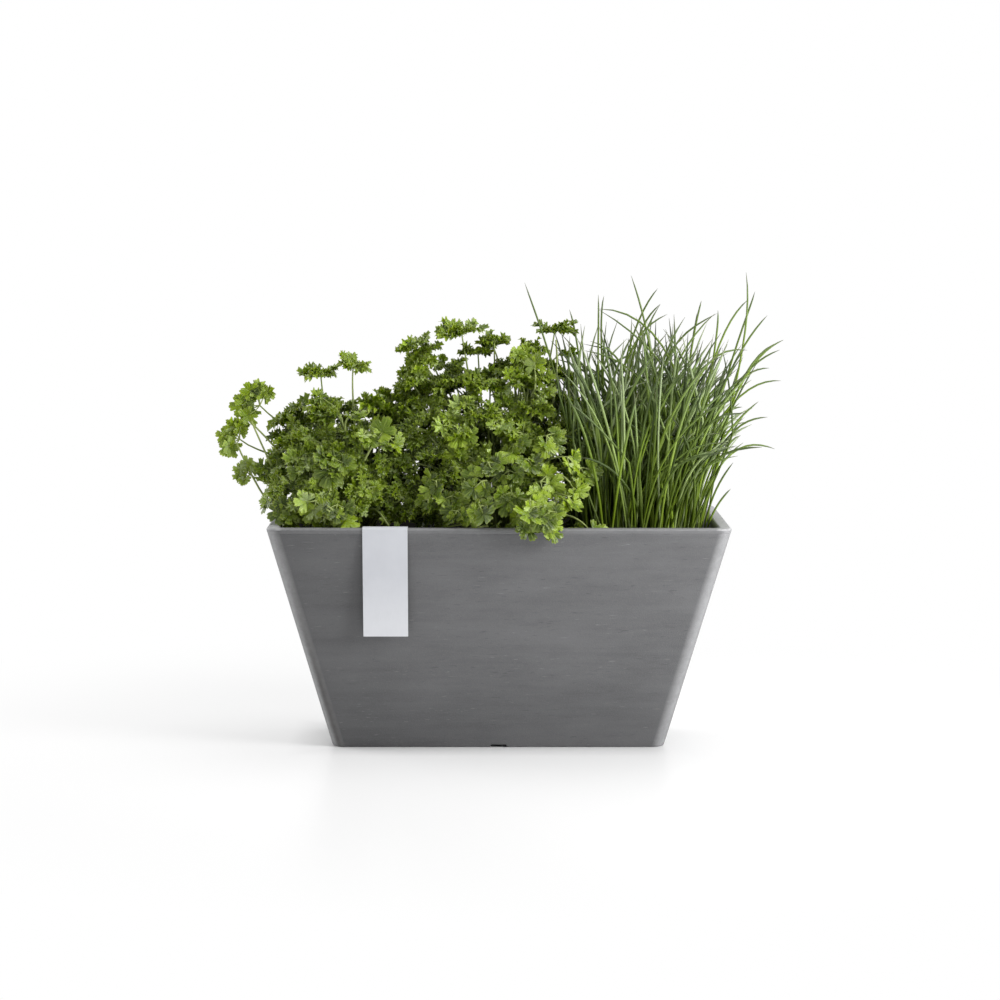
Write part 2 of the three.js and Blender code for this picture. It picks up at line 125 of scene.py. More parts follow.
def tell(piece):
    """Prints the size of a piece's mesh."""
    mesh = piece.data
    mesh.calc_loop_triangles()
    print(f"{piece.name}: {len(mesh.vertices)} points, {len(mesh.loop_triangles)} triangles")


# %% [markdown]
# # Node tools
# Every material here is one plain shader fed by a few patterns, and the plants are grown by trees of nodes.
# One function adds a node with its settings and inputs. The others are short names for what the materials
# need most: noise, a range, a colour ramp, a mix, a sum and a relief. All patterns lie on the object's own
# coordinates.

# %% Node tools
def put(tree, kind, inputs=None, **settings):
    """Adds a node, gives it its settings, and sets or links its inputs."""
    node = tree.nodes.new(kind)
    for name, value in settings.items():
        setattr(node, name, value)
    for key, value in (inputs or {}).items():
        if isinstance(value, bpy.types.NodeSocket):
            tree.links.new(value, node.inputs[key])
        else:
            node.inputs[key].default_value = value
    return node


def plain_material(name, specular):
    """A material with its tree and its shader."""
    material = bpy.data.materials.new(name)
    material.use_nodes = True
    surface = material.node_tree.nodes["Principled BSDF"]
    surface.inputs["Specular IOR Level"].default_value = specular
    return material, material.node_tree, surface


def maths(tree, operation, first, second=0.0, **settings):
    inputs = {0: first, 1: second}
    return put(tree, "ShaderNodeMath", inputs, operation=operation, **settings).outputs[0]


def summed(tree, first, second, share):
    """One number plus a share of another."""
    return put(tree, "ShaderNodeMath", {0: second, 1: share, 2: first}, operation="MULTIPLY_ADD").outputs[0]


def attribute(tree, name):
    return put(tree, "ShaderNodeAttribute", attribute_name=name).outputs["Fac"]


def own_place(tree):
    """The object's own coordinates, in metres."""
    return put(tree, "ShaderNodeTexCoord").outputs["Object"]


def noise(tree, scale, detail=4.0, roughness=0.55):
    """Noise from 0 to 1. A scale for each axis squeezes its round spots into streaks."""
    place = own_place(tree)
    if isinstance(scale, tuple):
        place = put(tree, "ShaderNodeMapping", {"Vector": place, "Scale": scale}).outputs[0]
        scale = 1.0
    return put(tree, "ShaderNodeTexNoise", {
        "Vector": place, "Scale": scale, "Detail": detail, "Roughness": roughness,
    }).outputs["Fac"]


def between(tree, factor, low, high, start=0.0, end=1.0, **settings):
    """A number that goes from low to high as the factor goes from start to end."""
    return put(tree, "ShaderNodeMapRange", {
        "Value": factor, "From Min": start, "From Max": end, "To Min": low, "To Max": high,
    }, **settings).outputs[0]


def along_axis(tree, axis, low, high, start, end):
    """A number that goes from low to high between two places on an axis of the object, in metres."""
    place = put(tree, "ShaderNodeSeparateXYZ", {0: own_place(tree)}).outputs[axis]
    return between(tree, place, low, high, start, end)


def ramp(tree, factor, stops):
    """A colour ramp with the given stops of position and colour."""
    node = put(tree, "ShaderNodeValToRGB", {"Fac": factor})
    elements = node.color_ramp.elements
    while len(elements) < len(stops):
        elements.new(0.5)
    for element, (position, colour) in zip(elements, stops):
        element.position = position
        element.color = (*colour, 1)
    return node.outputs["Color"]


def mixed(tree, factor, first, second, blend="MIX"):
    """One colour laid over another."""
    node = put(tree, "ShaderNodeMix", data_type="RGBA", blend_type=blend)
    for socket, value in ((0, factor), (6, first), (7, second)):
        if isinstance(value, bpy.types.NodeSocket):
            tree.links.new(value, node.inputs[socket])
        else:
            node.inputs[socket].default_value = value if socket == 0 else (*value, 1)
    return node.outputs[2]


def cover(tree, surface, colour, roughness, relief, depth):
    """Gives a surface its colour, its roughness and its relief, in which 1 stands for so many millimetres."""
    tree.links.new(colour, surface.inputs["Base Color"])
    tree.links.new(roughness, surface.inputs["Roughness"])
    bump = put(tree, "ShaderNodeBump", {"Height": relief, "Distance": depth * MM, "Strength": 1.0})
    tree.links.new(bump.outputs[0], surface.inputs["Normal"])


# %% [markdown]
# # The camera
# The picture was taken with a long lens from a little above the rim, so the pot's leaning front looks
# almost flat and only a sliver of its inside shows. The place and the lens were worked out from the pot's
# known corners.

# %% Camera
LENS = 99.446  # millimetres
SENSOR_WIDTH = 36
CAMERA_PLACE = Vector((-13.1, -1837, 351.1)) * MM
LOOKS_DOWN = 5.91  # degrees
LOOKS_RIGHT = 0.44
TILTS = 0.10

camera_data = bpy.data.cameras.new("camera")
camera_data.lens = LENS
camera_data.sensor_width = SENSOR_WIDTH
camera = in_scene("camera", camera_data)
aim = Euler((math.radians(90 - LOOKS_DOWN), 0, -math.radians(LOOKS_RIGHT))).to_matrix()
roll = Matrix.Rotation(math.radians(TILTS), 3, "Z")
camera.matrix_world = Matrix.Translation(CAMERA_PLACE) @ (aim @ roll).to_4x4()
bpy.context.scene.camera = camera
bpy.context.scene.view_settings.view_transform = "Standard"
print("camera at", tuple(round(value, 3) for value in CAMERA_PLACE))

# %% [markdown]
# # The stage
# A product picture like this one stands on a white table in a white room. The floor is a wide disc. What
# the camera sees of it is half real light, so that the pot keeps its soft shadow, and half plain white, and
# it goes over to plain white far away, where no edge may show. Diffuse light only meets the real half, so
# the lamps stay gentle.

# %% Stage
FLOOR_RADIUS = 6000
FLOOR_POINTS = 96
FLOOR_WHITE = 0.93
FLOOR_ROUGHNESS = 0.3
FLOOR_SPECULAR = 0.35
FLOOR_PLAIN_SHARE = 0.5  # how much of the floor round the pot is plain white
FLOOR_FADE = (0.22, 0.50)  # metres from the pot's middle, where the floor goes over to plain white
FLOOR_COVERED = (0.11, 0.035)  # half the length and half the width that the pot covers, in metres
FLOOR_NEAR = 0.03  # metres from the pot within which the floor is mostly real light
ROOM_LIGHT = 0.25  # the light that the room gives to surfaces; where it is seen directly it is 1
LAMPS_AIM = Vector((0, 0, 0.14))
LAMPS = (  # name, place and size of a soft box in metres, and its power in watts
    ("key_right", (0.66, -0.40, 0.42), 0.4, 7.4),
    ("side_left", (-1.1, 0.34, 0.6), 0.7, 6.6),
    ("overhead", (0.15, 0.30, 1.4), 1.0, 9),
)


def seen_directly(tree):
    """1 for rays that show the background: the camera's, reflected and passed through ones."""
    rays = put(tree, "ShaderNodeLightPath").outputs
    either = maths(tree, "MAXIMUM", rays["Is Camera Ray"], rays["Is Glossy Ray"])
    return maths(tree, "MAXIMUM", either, rays["Is Transmission Ray"])


def beside_pot(tree, place):
    """0 under the pot and 1 a little way off it."""
    axes = put(tree, "ShaderNodeSeparateXYZ", {0: place}).outputs
    beyond = [
        maths(tree, "SUBTRACT", maths(tree, "ABSOLUTE", axes[axis]), covered)
        for axis, covered in zip("XY", FLOOR_COVERED)
    ]
    return between(tree, maths(tree, "MAXIMUM", *beyond), 0.0, 1.0, end=FLOOR_NEAR)


def floor_material():
    material, tree, surface = plain_material("white_table", FLOOR_SPECULAR)
    surface.inputs["Base Color"].default_value = (FLOOR_WHITE, FLOOR_WHITE, FLOOR_WHITE, 1)
    surface.inputs["Roughness"].default_value = FLOOR_ROUGHNESS
    place = own_place(tree)
    distance = put(tree, "ShaderNodeVectorMath", {0: place}, operation="LENGTH").outputs["Value"]
    fade = between(tree, distance, FLOOR_PLAIN_SHARE, 1.0, *FLOOR_FADE, interpolation_type="SMOOTHSTEP")
    shown = maths(tree, "MULTIPLY", fade, beside_pot(tree, place))
    share = maths(tree, "MULTIPLY", shown, seen_directly(tree))
    white = put(tree, "ShaderNodeEmission", {"Color": (1, 1, 1, 1), "Strength": 1.0})
    mix = put(tree, "ShaderNodeMixShader", {0: share, 1: surface.outputs[0], 2: white.outputs[0]})
    tree.links.new(mix.outputs[0], tree.nodes["Material Output"].inputs["Surface"])
    return material


def white_room():
    world = bpy.data.worlds.new("white_room")
    world.use_nodes = True
    tree = world.node_tree
    background = tree.nodes["Background"]
    background.inputs["Color"].default_value = (1, 1, 1, 1)
    tree.links.new(between(tree, seen_directly(tree), ROOM_LIGHT, 1.0), background.inputs["Strength"])
    return world


def soft_lamp(name, place, size, power):
    """A square soft box that points at the middle of the plants."""
    data = bpy.data.lights.new(name, "AREA")
    data.shape = "SQUARE"
    data.size = size
    data.energy = power
    lamp = in_scene(name, data)
    lamp.location = place
    lamp.rotation_euler = (LAMPS_AIM - Vector(place)).to_track_quat("-Z", "Y").to_euler()


floor_rim = circle(FLOOR_RADIUS, 0, FLOOR_POINTS)
floor = mesh_piece("table", floor_rim, [list(range(FLOOR_POINTS))], material=floor_material())
bpy.context.scene.world = white_room()
for lamp_plan in LAMPS:
    soft_lamp(*lamp_plan)
print("stage ready")

# %% [markdown]
# # The pot's shape
# The real pot is one moulding. Its walls lean out by the same angle all round, its corners and its rim are
# rounded, and a fine groove runs round it just under the rim, where the two halves of the mould met. It
# could be carved from a block with booleans, but a loft follows it more closely: every level of the wall is
# the same rounded rectangle, drawn in by what the lean and the rounding take away. One loft runs up the
# outside, over the rim, down the inside, through the drain hole and back along the underside, so the shell
# is closed and even.

# %% Pot sizes
TOP_LENGTH = 300
TOP_WIDTH = 150
POT_HEIGHT = 150
WALL_LEAN = math.radians(15.1)
WALL_THICKNESS = 8
CORNER_RADIUS = 9
INNER_CORNER_RADIUS = 4
RIM_OUTER_ROUND = 1.3
RIM_INNER_ROUND = 1.3
BASE_EDGE_ROUND = 1.3
FLOOR_TOP = 8
INNER_FLOOR_ROUND = 5
FOOT_WIDTH = 9
FOOT_HEIGHT = 2
FOOT_BEVEL = 0.6
DRAIN_RADIUS = 6
DRAIN_BEVEL = 0.8
NOTCH_WIDTH = 10
NOTCH_FLARE = 2
PARTING_DEPTH = 0.1
PARTING_BELOW_RIM = 3.2
PARTING_WIDTH = 0.6

CORNER_STEPS = 12
ROUND_STEPS = 6
RIM_STEPS = 8
BESIDE_CORNER = 2  # from a round corner to the first point of a straight side
WALL_LEVELS = (3, 40, 80, 120)
INNER_WALL_LEVELS = (146, 100, 50, 16)
HOLE_START = math.radians(-120)  # where a round ring starts, so that it faces the plan's rings
POT_SHARP_EDGES = 40  # degrees

LEAN_SLOPE = math.tan(WALL_LEAN)
OUTER_ROUND_INSET = RIM_OUTER_ROUND * (1 + math.sin(WALL_LEAN)) / math.cos(WALL_LEAN)
INNER_ROUND_INSET = WALL_THICKNESS - RIM_INNER_ROUND * (1 - math.sin(WALL_LEAN)) / math.cos(WALL_LEAN)
SHARP_EDGE_LOST = OUTER_ROUND_INSET - RIM_OUTER_ROUND * math.cos(WALL_LEAN)


# %% Rings of the pot
def drawn_in_at(height, inset=0):
    """How far inside the rim's plan the pot's outer face, or a face at an inset from it, lies at a height."""
    return (POT_HEIGHT - height) * LEAN_SLOPE + inset


def with_straights(corner_points):
    """Adds points along the straight sides, close to the round corners and between them."""
    per_corner = CORNER_STEPS + 1
    ring = []
    for i, point in enumerate(corner_points):
        ring.append(point)
        if i % per_corner == per_corner - 1:
            following = corner_points[(i + 1) % len(corner_points)]
            near = BESIDE_CORNER / (following - point).length
            ring += [point.lerp(following, share) for share in (near, 0.25, 0.5, 0.75, 1 - near)]
    return ring


def plan_at(height, inset, radius):
    """The pot's plan at a height, drawn in from its outer face."""
    drawn_in = drawn_in_at(height, inset) - SHARP_EDGE_LOST
    half_length = TOP_LENGTH / 2 - drawn_in
    half_width = TOP_WIDTH / 2 - drawn_in
    points = []
    for side_x, side_y, start in ((1, -1, -90), (1, 1, 0), (-1, 1, 90), (-1, -1, 180)):
        for step in range(CORNER_STEPS + 1):
            angle = math.radians(start + 90 * step / CORNER_STEPS)
            x = side_x * (half_length - radius) + radius * math.cos(angle)
            y = side_y * (half_width - radius) + radius * math.sin(angle)
            points.append(Vector((x, y, height)))
    return with_straights(points)


def round_hole(height, radius):
    """A round ring with as many points as the pot's plan."""
    return circle(radius, height, len(plan_at(0, 0, CORNER_RADIUS)), HOLE_START)


def arc(centre, radius, start, end, steps):
    """Points of an arc in the wall's section: x runs inwards from the sharp outer edge, y up from the rim."""
    angles = [start + (end - start) * i / steps for i in range(steps + 1)]
    return [(centre[0] + radius * math.cos(a), centre[1] + radius * math.sin(a)) for a in angles]


def rim_rounds(distance, steps, outer_lean=WALL_LEAN):
    """The rim's outer and inner round, seen in section, at a distance from the plastic."""
    outer_centre = (OUTER_ROUND_INSET, -RIM_OUTER_ROUND)
    inner_centre = (INNER_ROUND_INSET, -RIM_INNER_ROUND)
    outer = arc(outer_centre, RIM_OUTER_ROUND + distance, math.pi + outer_lean, math.pi / 2, steps)
    inner = arc(inner_centre, RIM_INNER_ROUND + distance, math.pi / 2, WALL_LEAN, steps)
    return outer, inner


def edge_round(radius):
    """How high and how far in the points of a rounded bottom edge lie."""
    angles = [math.pi / 2 * i / ROUND_STEPS for i in range(ROUND_STEPS + 1)]
    return [(radius * (1 - math.cos(a)), radius * (1 - math.sin(a))) for a in angles]


def section_ring(point, base_radius, base_inset=0):
    """The ring through a point of the rim's section."""
    inset = point[0] + point[1] * LEAN_SLOPE
    return plan_at(POT_HEIGHT + point[1], inset, base_radius - (inset - base_inset))


# %% The shell
def outside_rings():
    rings = [plan_at(rise, inset, CORNER_RADIUS - inset) for rise, inset in edge_round(BASE_EDGE_ROUND)]
    rings += [plan_at(height, 0, CORNER_RADIUS) for height in WALL_LEVELS]
    groove_top = POT_HEIGHT - PARTING_BELOW_RIM
    for height, depth in (
        (groove_top - PARTING_WIDTH - 1, 0),
        (groove_top - PARTING_WIDTH, 0),
        (groove_top - 0.7 * PARTING_WIDTH, PARTING_DEPTH),
        (groove_top - 0.3 * PARTING_WIDTH, PARTING_DEPTH),
        (groove_top, 0),
        (groove_top + 1, 0),
    ):
        rings.append(plan_at(height, depth, CORNER_RADIUS - depth))
    return rings


def inside_rings():
    radius = INNER_CORNER_RADIUS
    rings = [plan_at(height, WALL_THICKNESS, radius) for height in INNER_WALL_LEVELS]
    for rise, inset in reversed(edge_round(INNER_FLOOR_ROUND)):
        rings.append(plan_at(FLOOR_TOP + rise, WALL_THICKNESS + inset, max(radius - inset, radius / 2)))
    return rings


def underside_rings():
    foot = FOOT_WIDTH + BASE_EDGE_ROUND / 2
    return [
        round_hole(FLOOR_TOP, DRAIN_RADIUS + DRAIN_BEVEL),
        round_hole(FLOOR_TOP - DRAIN_BEVEL, DRAIN_RADIUS),
        round_hole(FOOT_HEIGHT, DRAIN_RADIUS),
        plan_at(FOOT_HEIGHT, foot + FOOT_BEVEL, INNER_CORNER_RADIUS),
        plan_at(FOOT_HEIGHT - FOOT_BEVEL, foot, INNER_CORNER_RADIUS),
        plan_at(0, FOOT_WIDTH, INNER_CORNER_RADIUS),
    ]


def pot_rings():
    outer, inner = rim_rounds(0, RIM_STEPS)
    rings = outside_rings()
    rings += [section_ring(point, CORNER_RADIUS) for point in outer]
    rings += [section_ring(point, INNER_CORNER_RADIUS, WALL_THICKNESS) for point in inner]
    return rings + inside_rings() + underside_rings()


def bands(count, levels, closed):
    """The faces between rings of so many points that follow each other, and back to the first if closed."""
    faces = []
    for level in range(levels if closed else levels - 1):
        low = level * count
        high = (level + 1) % levels * count
        for i in range(count):
            j = (i + 1) % count
            faces.append((low + i, low + j, high + j, high + i))
    return faces


rings = pot_rings()
points = [point for ring in rings for point in ring]
pot = mesh_piece("moulded_pot", points, bands(len(rings[0]), len(rings), closed=True))
tell(pot)

# %% [markdown]
# The small notch in the middle of the front's bottom edge lets water out of the foot ring. It is a straight
# cut across the whole base, so a boolean with one flared bar is the plainest way to make it, front and back
# at once.


# %% The drain notch
def notch_bar():
    """A bar from front to back, wider below, that reaches a millimetre under the ground."""
    ground_half = (NOTCH_WIDTH + NOTCH_FLARE) / 2
    top_half = NOTCH_WIDTH / 2
    section = [(-ground_half, -1), (ground_half, -1), (top_half, FOOT_HEIGHT), (-top_half, FOOT_HEIGHT)]
    points = [Vector((x, y, z)) for y in (-TOP_WIDTH / 2, TOP_WIDTH / 2) for x, z in section]
    faces = [(0, 1, 2, 3), (7, 6, 5, 4), (0, 4, 5, 1), (1, 5, 6, 2), (2, 6, 7, 3), (3, 7, 4, 0)]
    return mesh_piece("notch_bar", points, faces)


def cut_away(piece, cutter):
    """Cuts one mesh from another and leaves plain mesh data."""
    modifier = piece.modifiers.new("cut", "BOOLEAN")
    modifier.operation = "DIFFERENCE"
    modifier.solver = "EXACT"
    modifier.object = cutter
    evaluated = piece.evaluated_get(bpy.context.evaluated_depsgraph_get())
    result = bpy.data.meshes.new_from_object(evaluated)
    result.validate()
    piece.modifiers.clear()
    piece.data = result
    bpy.data.objects.remove(cutter)


cut_away(pot, notch_bar())
shade_smooth(pot, POT_SHARP_EDGES)
tell(pot)

# %% [markdown]
# # The pot's plastic
# The pot is dull grey plastic full of stone dust. The dust flows sideways in the mould and leaves faint
# level streaks, with soft clouds among them, and it makes the skin slightly rough. Painted shade makes it a
# little darker low down and towards its left end. The rim and the corners are paler, partly rubbed and partly
# a painted highlight. Painted shade darkens the inside of the walls and a line on the front left corner. How
# pale and how dark the pot is at each of its points is worked out from the point's place.

# %% Pot plastic
BODY = [(0.34, (0.092, 0.093, 0.096)), (0.66, (0.140, 0.141, 0.145))]  # from dark clouds to pale ones
STREAK_COLOUR = (0.162, 0.163, 0.168)
DUST_COLOUR = (0.20, 0.20, 0.205)
PALE_MARK_COLOUR = (0.34, 0.34, 0.345)
DARK_MARK_COLOUR = (0.06, 0.06, 0.063)
# The paler corners, rim and edges are partly rubbed plastic and partly a painted highlight.
WEAR_AND_HIGHLIGHT_COLOUR = (0.38, 0.38, 0.386)
# Painted shade: the dark inside of the walls and the line on the front left corner.
PAINTED_SHADE_COLOUR = (0.030, 0.026, 0.022)
STREAK_SCALES = (11, 11, 190)  # along X, Y and Z; the higher, the finer
CLOUD_SCALES = (15, 15, 44)
SCRATCH_SCALES = (130, 130, 1300)
DUST_SCALE = 1500
WEAR_AND_HIGHLIGHT_SCALE = 240
PLASTIC_RELIEF = 0.12
PAINTED_SHADE_BANDS = (  # painted shade on the left end and low down: axis, the place where it is darkest, where that ends, and the share
    ("X", -0.13, -0.03, 0.25), ("Z", 0.0, 0.06, 0.22),
)


def moulded_body(tree, dust, streaks, clouds):
    """The plastic as it comes out of the mould, with painted shade on its left end and low down."""
    body = ramp(tree, clouds, BODY)
    streaky = mixed(tree, between(tree, streaks, -0.30, 0.80), body, STREAK_COLOUR)
    colour = mixed(tree, between(tree, dust, -0.35, 0.5), streaky, DUST_COLOUR)
    # Painted shade: the pot is darkened towards its left end and towards its foot.
    for axis, start, end, most in PAINTED_SHADE_BANDS:
        colour = mixed(tree, along_axis(tree, axis, most, 0.0, start, end), colour, (0.0, 0.0, 0.0))
    return colour


def after_use(tree, colour):
    """The plastic after some use: fine scratches, paler corners and rim that are partly rubbed and partly a
    painted highlight, and painted shade inside the walls.
    """
    scratches = noise(tree, SCRATCH_SCALES, 2.0, 0.5)
    pale_marks = ramp(tree, scratches, [(0.69, (0, 0, 0)), (0.78, (0.40, 0.40, 0.40))])
    dark_marks = ramp(tree, scratches, [(0.26, (0.5, 0.5, 0.5)), (0.36, (0, 0, 0))])
    colour = mixed(tree, pale_marks, colour, PALE_MARK_COLOUR)
    colour = mixed(tree, dark_marks, colour, DARK_MARK_COLOUR)
    # Paler corners, rim and edges: rubbed plastic and a painted highlight.
    patchy = between(tree, noise(tree, WEAR_AND_HIGHLIGHT_SCALE, 5.0, 0.7), 0.4, 1.5)
    wear_and_highlight_mask = maths(tree, "MULTIPLY", attribute(tree, "wear_and_highlight"), patchy, use_clamp=True)
    colour = mixed(tree, wear_and_highlight_mask, colour, WEAR_AND_HIGHLIGHT_COLOUR)
    # Painted shade inside the walls and on the front left corner.
    return mixed(tree, attribute(tree, "painted_shade"), colour, PAINTED_SHADE_COLOUR)


def pot_plastic():
    material, tree, surface = plain_material("stone_filled_plastic", 0.5)
    dust = noise(tree, DUST_SCALE, 2.0)
    streaks = noise(tree, STREAK_SCALES, 5.0, 0.6)
    clouds = noise(tree, CLOUD_SCALES, 6.0, 0.62)
    colour = after_use(tree, moulded_body(tree, dust, streaks, clouds))
    relief = summed(tree, dust, streaks, 0.7)
    cover(tree, surface, colour, between(tree, clouds, 0.46, 0.70), relief, PLASTIC_RELIEF)
    return material


# %% Wear, painted highlight and painted shade
# Wear and a painted highlight make the corners, the rim and the lower edges paler.
CORNER_WEAR_AND_HIGHLIGHT = (0.6, 0.85)  # at most, on the right and on the left corners
RIM_END_WEAR_AND_HIGHLIGHT = 1.0  # the rim is palest at its short ends: rubbed where hands lift the pot, and a painted highlight
RIM_WEAR_AND_HIGHLIGHT = 0.35
EDGE_WEAR_AND_HIGHLIGHT = 0.15
RIM_END = 9
# Painted shade inside the walls, which the plants shade, and where it stops.
INSIDE_PAINTED_SHADE = 0.95
SHADE_BELOW_RIM = 3
SHADE_IN_WALL = 1.5
# A painted shade line where the front left corner turns away from the front.
SHADE_LINE_TURN = 0.3
SHADE_LINE_TOP = 110
SHADE_LINE_DARKNESS = 0.75


def corner_turn(x, y, z):
    """How far round a rounded outer corner a point lies, from 0 at the long wall to 1 at the short wall."""
    drawn_in = drawn_in_at(z, CORNER_RADIUS) - SHARP_EDGE_LOST
    out_x = abs(x) - TOP_LENGTH / 2 + drawn_in
    out_y = abs(y) - TOP_WIDTH / 2 + drawn_in
    if min(out_x, out_y) < 0 or math.hypot(out_x, out_y) < 0.7 * CORNER_RADIUS:
        return 0
    return math.atan2(out_x, out_y) / (math.pi / 2)


def shade_line(x, y, z):
    """A painted shade line low down on the front left corner, which fades out upwards."""
    if x > 0 or y > 0:
        return 0
    nearness = 1 - abs(corner_turn(x, y, z) - SHADE_LINE_TURN) / SHADE_LINE_TURN
    return SHADE_LINE_DARKNESS * clamped(nearness) * clamped(2 - 2 * z / SHADE_LINE_TOP)


def in_painted_shade(x, y, z):
    """Inside the walls, below the bend of the rim, where painted shade darkens the plastic."""
    drawn_in = drawn_in_at(z, WALL_THICKNESS - SHADE_IN_WALL)
    inside = abs(x) < TOP_LENGTH / 2 - drawn_in and abs(y) < TOP_WIDTH / 2 - drawn_in
    return inside and FLOOR_TOP < z < POT_HEIGHT - SHADE_BELOW_RIM


def wear_and_highlight_at(x, y, z):
    """Wear and painted highlight: most on the corners and the ends of the rim, less on the rim's sides, and
    least on the lower edges.
    """
    if z > POT_HEIGHT - RIM_OUTER_ROUND:
        return RIM_END_WEAR_AND_HIGHLIGHT if abs(x) > TOP_LENGTH / 2 - RIM_END else RIM_WEAR_AND_HIGHLIGHT
    corner = CORNER_WEAR_AND_HIGHLIGHT[x < 0] * math.sin(math.pi * corner_turn(x, y, z))
    if z > POT_HEIGHT - PARTING_BELOW_RIM or z < 0.6 * BASE_EDGE_ROUND:
        return max(corner, EDGE_WEAR_AND_HIGHLIGHT)
    return corner


places = [vertex.co / MM for vertex in pot.data.vertices]
write_values(pot.data, "wear_and_highlight", "FLOAT", [wear_and_highlight_at(*place) for place in places])
# Painted shade inside the walls and along the front left corner.
write_values(pot.data, "painted_shade", "FLOAT", [INSIDE_PAINTED_SHADE if in_painted_shade(*place) else shade_line(*place) for place in places])
pot.data.materials.append(pot_plastic())
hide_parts("pot_shell")
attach(pot, "trough")
print("pot done")

# %% [markdown]
# # The card label
# A strip of stiff card hangs over the front rim: long outside, short inside. It is springy, so it doesn't
# quite lie on the wall but bows a little, and its free ends stand off by less than a millimetre. Its
# section is the path over the rim at two distances, and the strip is that section drawn across its width.
# It is thin but closed, with a real edge all round. The front is bare.

# %% Label sizes
LABEL_WIDTH = 29
LABEL_FRONT_LENGTH = 71
LABEL_BACK_LENGTH = 17
LABEL_THICKNESS = 0.5
LABEL_CENTRE = -73.4
LABEL_GAP = 0.3
LABEL_LEAN = math.radians(10)  # the card hangs steeper than the wall
LABEL_BOW = 0.5
LABEL_BACK_BOW = -0.2
LABEL_STEPS = 14
LABEL_BACK_STEPS = 4
LABEL_RIM_STEPS = 6
LABEL_ACROSS = 8
LABEL_SHARP_EDGES = 35  # degrees

CARD = [(0.3, (0.61, 0.625, 0.665)), (0.7, (0.65, 0.665, 0.705))]
# The colour of the painted bounce light on the card's lower part.
CARD_PAINTED_LIGHT = (0.80, 0.81, 0.84)
CARD_FIBRE = (0.57, 0.585, 0.63)
FIBRE_SCALES = (900, 500, 260)
CARD_PAINTED_LIGHT_HEIGHTS = (0.085, 0.120)  # heights in metres over which the painted bounce light on the card's lower part fades out
CARD_RELIEF = 0.03


# %% The label
def straight_part(start, length, lean, bow, steps):
    """Points down from a start at a lean, bowed most in the middle."""
    down = (math.sin(lean), -math.cos(lean))
    away = (-math.cos(lean), -math.sin(lean))
    points = []
    for i in range(1, steps + 1):
        share = i / steps
        off = bow * math.sin(math.pi * share)
        points.append([start[k] + down[k] * length * share + away[k] * off for k in (0, 1)])
    return points


def label_path(distance):
    outer, inner = rim_rounds(distance, LABEL_RIM_STEPS, LABEL_LEAN)
    front = straight_part(outer[0], LABEL_FRONT_LENGTH, LABEL_LEAN, LABEL_BOW, LABEL_STEPS)
    back = straight_part(inner[-1], LABEL_BACK_LENGTH, WALL_LEAN, LABEL_BACK_BOW, LABEL_BACK_STEPS)
    return front[::-1] + outer + inner + back


def end_faces(count, last):
    """The card's two cut edges, from pairs of points that face each other. The far one starts at last."""
    faces = []
    for i in range(count // 2 - 1):
        j = count - 1 - i
        faces.append((i, j, j - 1, i + 1))
        faces.append((last + i, last + i + 1, last + j - 1, last + j))
    return faces


def outwards(piece):
    """Merges doubles and turns every face outwards."""
    shape = bmesh.new()
    shape.from_mesh(piece.data)
    bmesh.ops.remove_doubles(shape, verts=shape.verts, dist=0.00001)
    bmesh.ops.recalc_face_normals(shape, faces=shape.faces)
    shape.to_mesh(piece.data)
    shape.free()


def label_piece():
    loop = label_path(LABEL_GAP + LABEL_THICKNESS) + label_path(LABEL_GAP)[::-1]
    count = len(loop)
    front = -TOP_WIDTH / 2 - SHARP_EDGE_LOST
    places = [LABEL_CENTRE + LABEL_WIDTH * (step / LABEL_ACROSS - 0.5) for step in range(LABEL_ACROSS + 1)]
    points = [Vector((x, front + inwards, POT_HEIGHT + up)) for x in places for inwards, up in loop]
    faces = bands(count, LABEL_ACROSS + 1, closed=False) + end_faces(count, LABEL_ACROSS * count)
    piece = mesh_piece("card_label", points, faces)
    outwards(piece)
    shade_smooth(piece, LABEL_SHARP_EDGES)
    return piece


def card():
    material, tree, surface = plain_material("pale_card", 0.4)
    fibres = noise(tree, FIBRE_SCALES, 5.0, 0.6)
    paper = ramp(tree, noise(tree, 55, 3.0), CARD)
    # Painted bounce light makes the lower part of the card paler.
    painted_light = mixed(tree, along_axis(tree, "Z", 0.8, 0.0, *CARD_PAINTED_LIGHT_HEIGHTS), paper, CARD_PAINTED_LIGHT)
    colour = mixed(tree, between(tree, fibres, 0.0, 0.25), painted_light, CARD_FIBRE)
    cover(tree, surface, colour, between(tree, fibres, 0.48, 0.66), fibres, CARD_RELIEF)
    return material


label = label_piece()
label.data.materials.append(card())
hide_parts("front_label")
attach(label, "label")
tell(label)

# %% [markdown]
# # Soil and root balls
# The bed and the root balls keep their solid shapes, because the plants hide them. They get a material of
# dark damp crumbs, in the root balls with pale threads of root. What does show, in the gaps between the
# stems, is the loose top of the soil, so real crumbs are scattered over it further on.


# %% Soil materials
ROOT_COLOUR = (0.34, 0.27, 0.18)
ROOT_SCALES = (900, 900, 120)
CRUMB_SCALE = 420
SOIL_RELIEF = 1.2


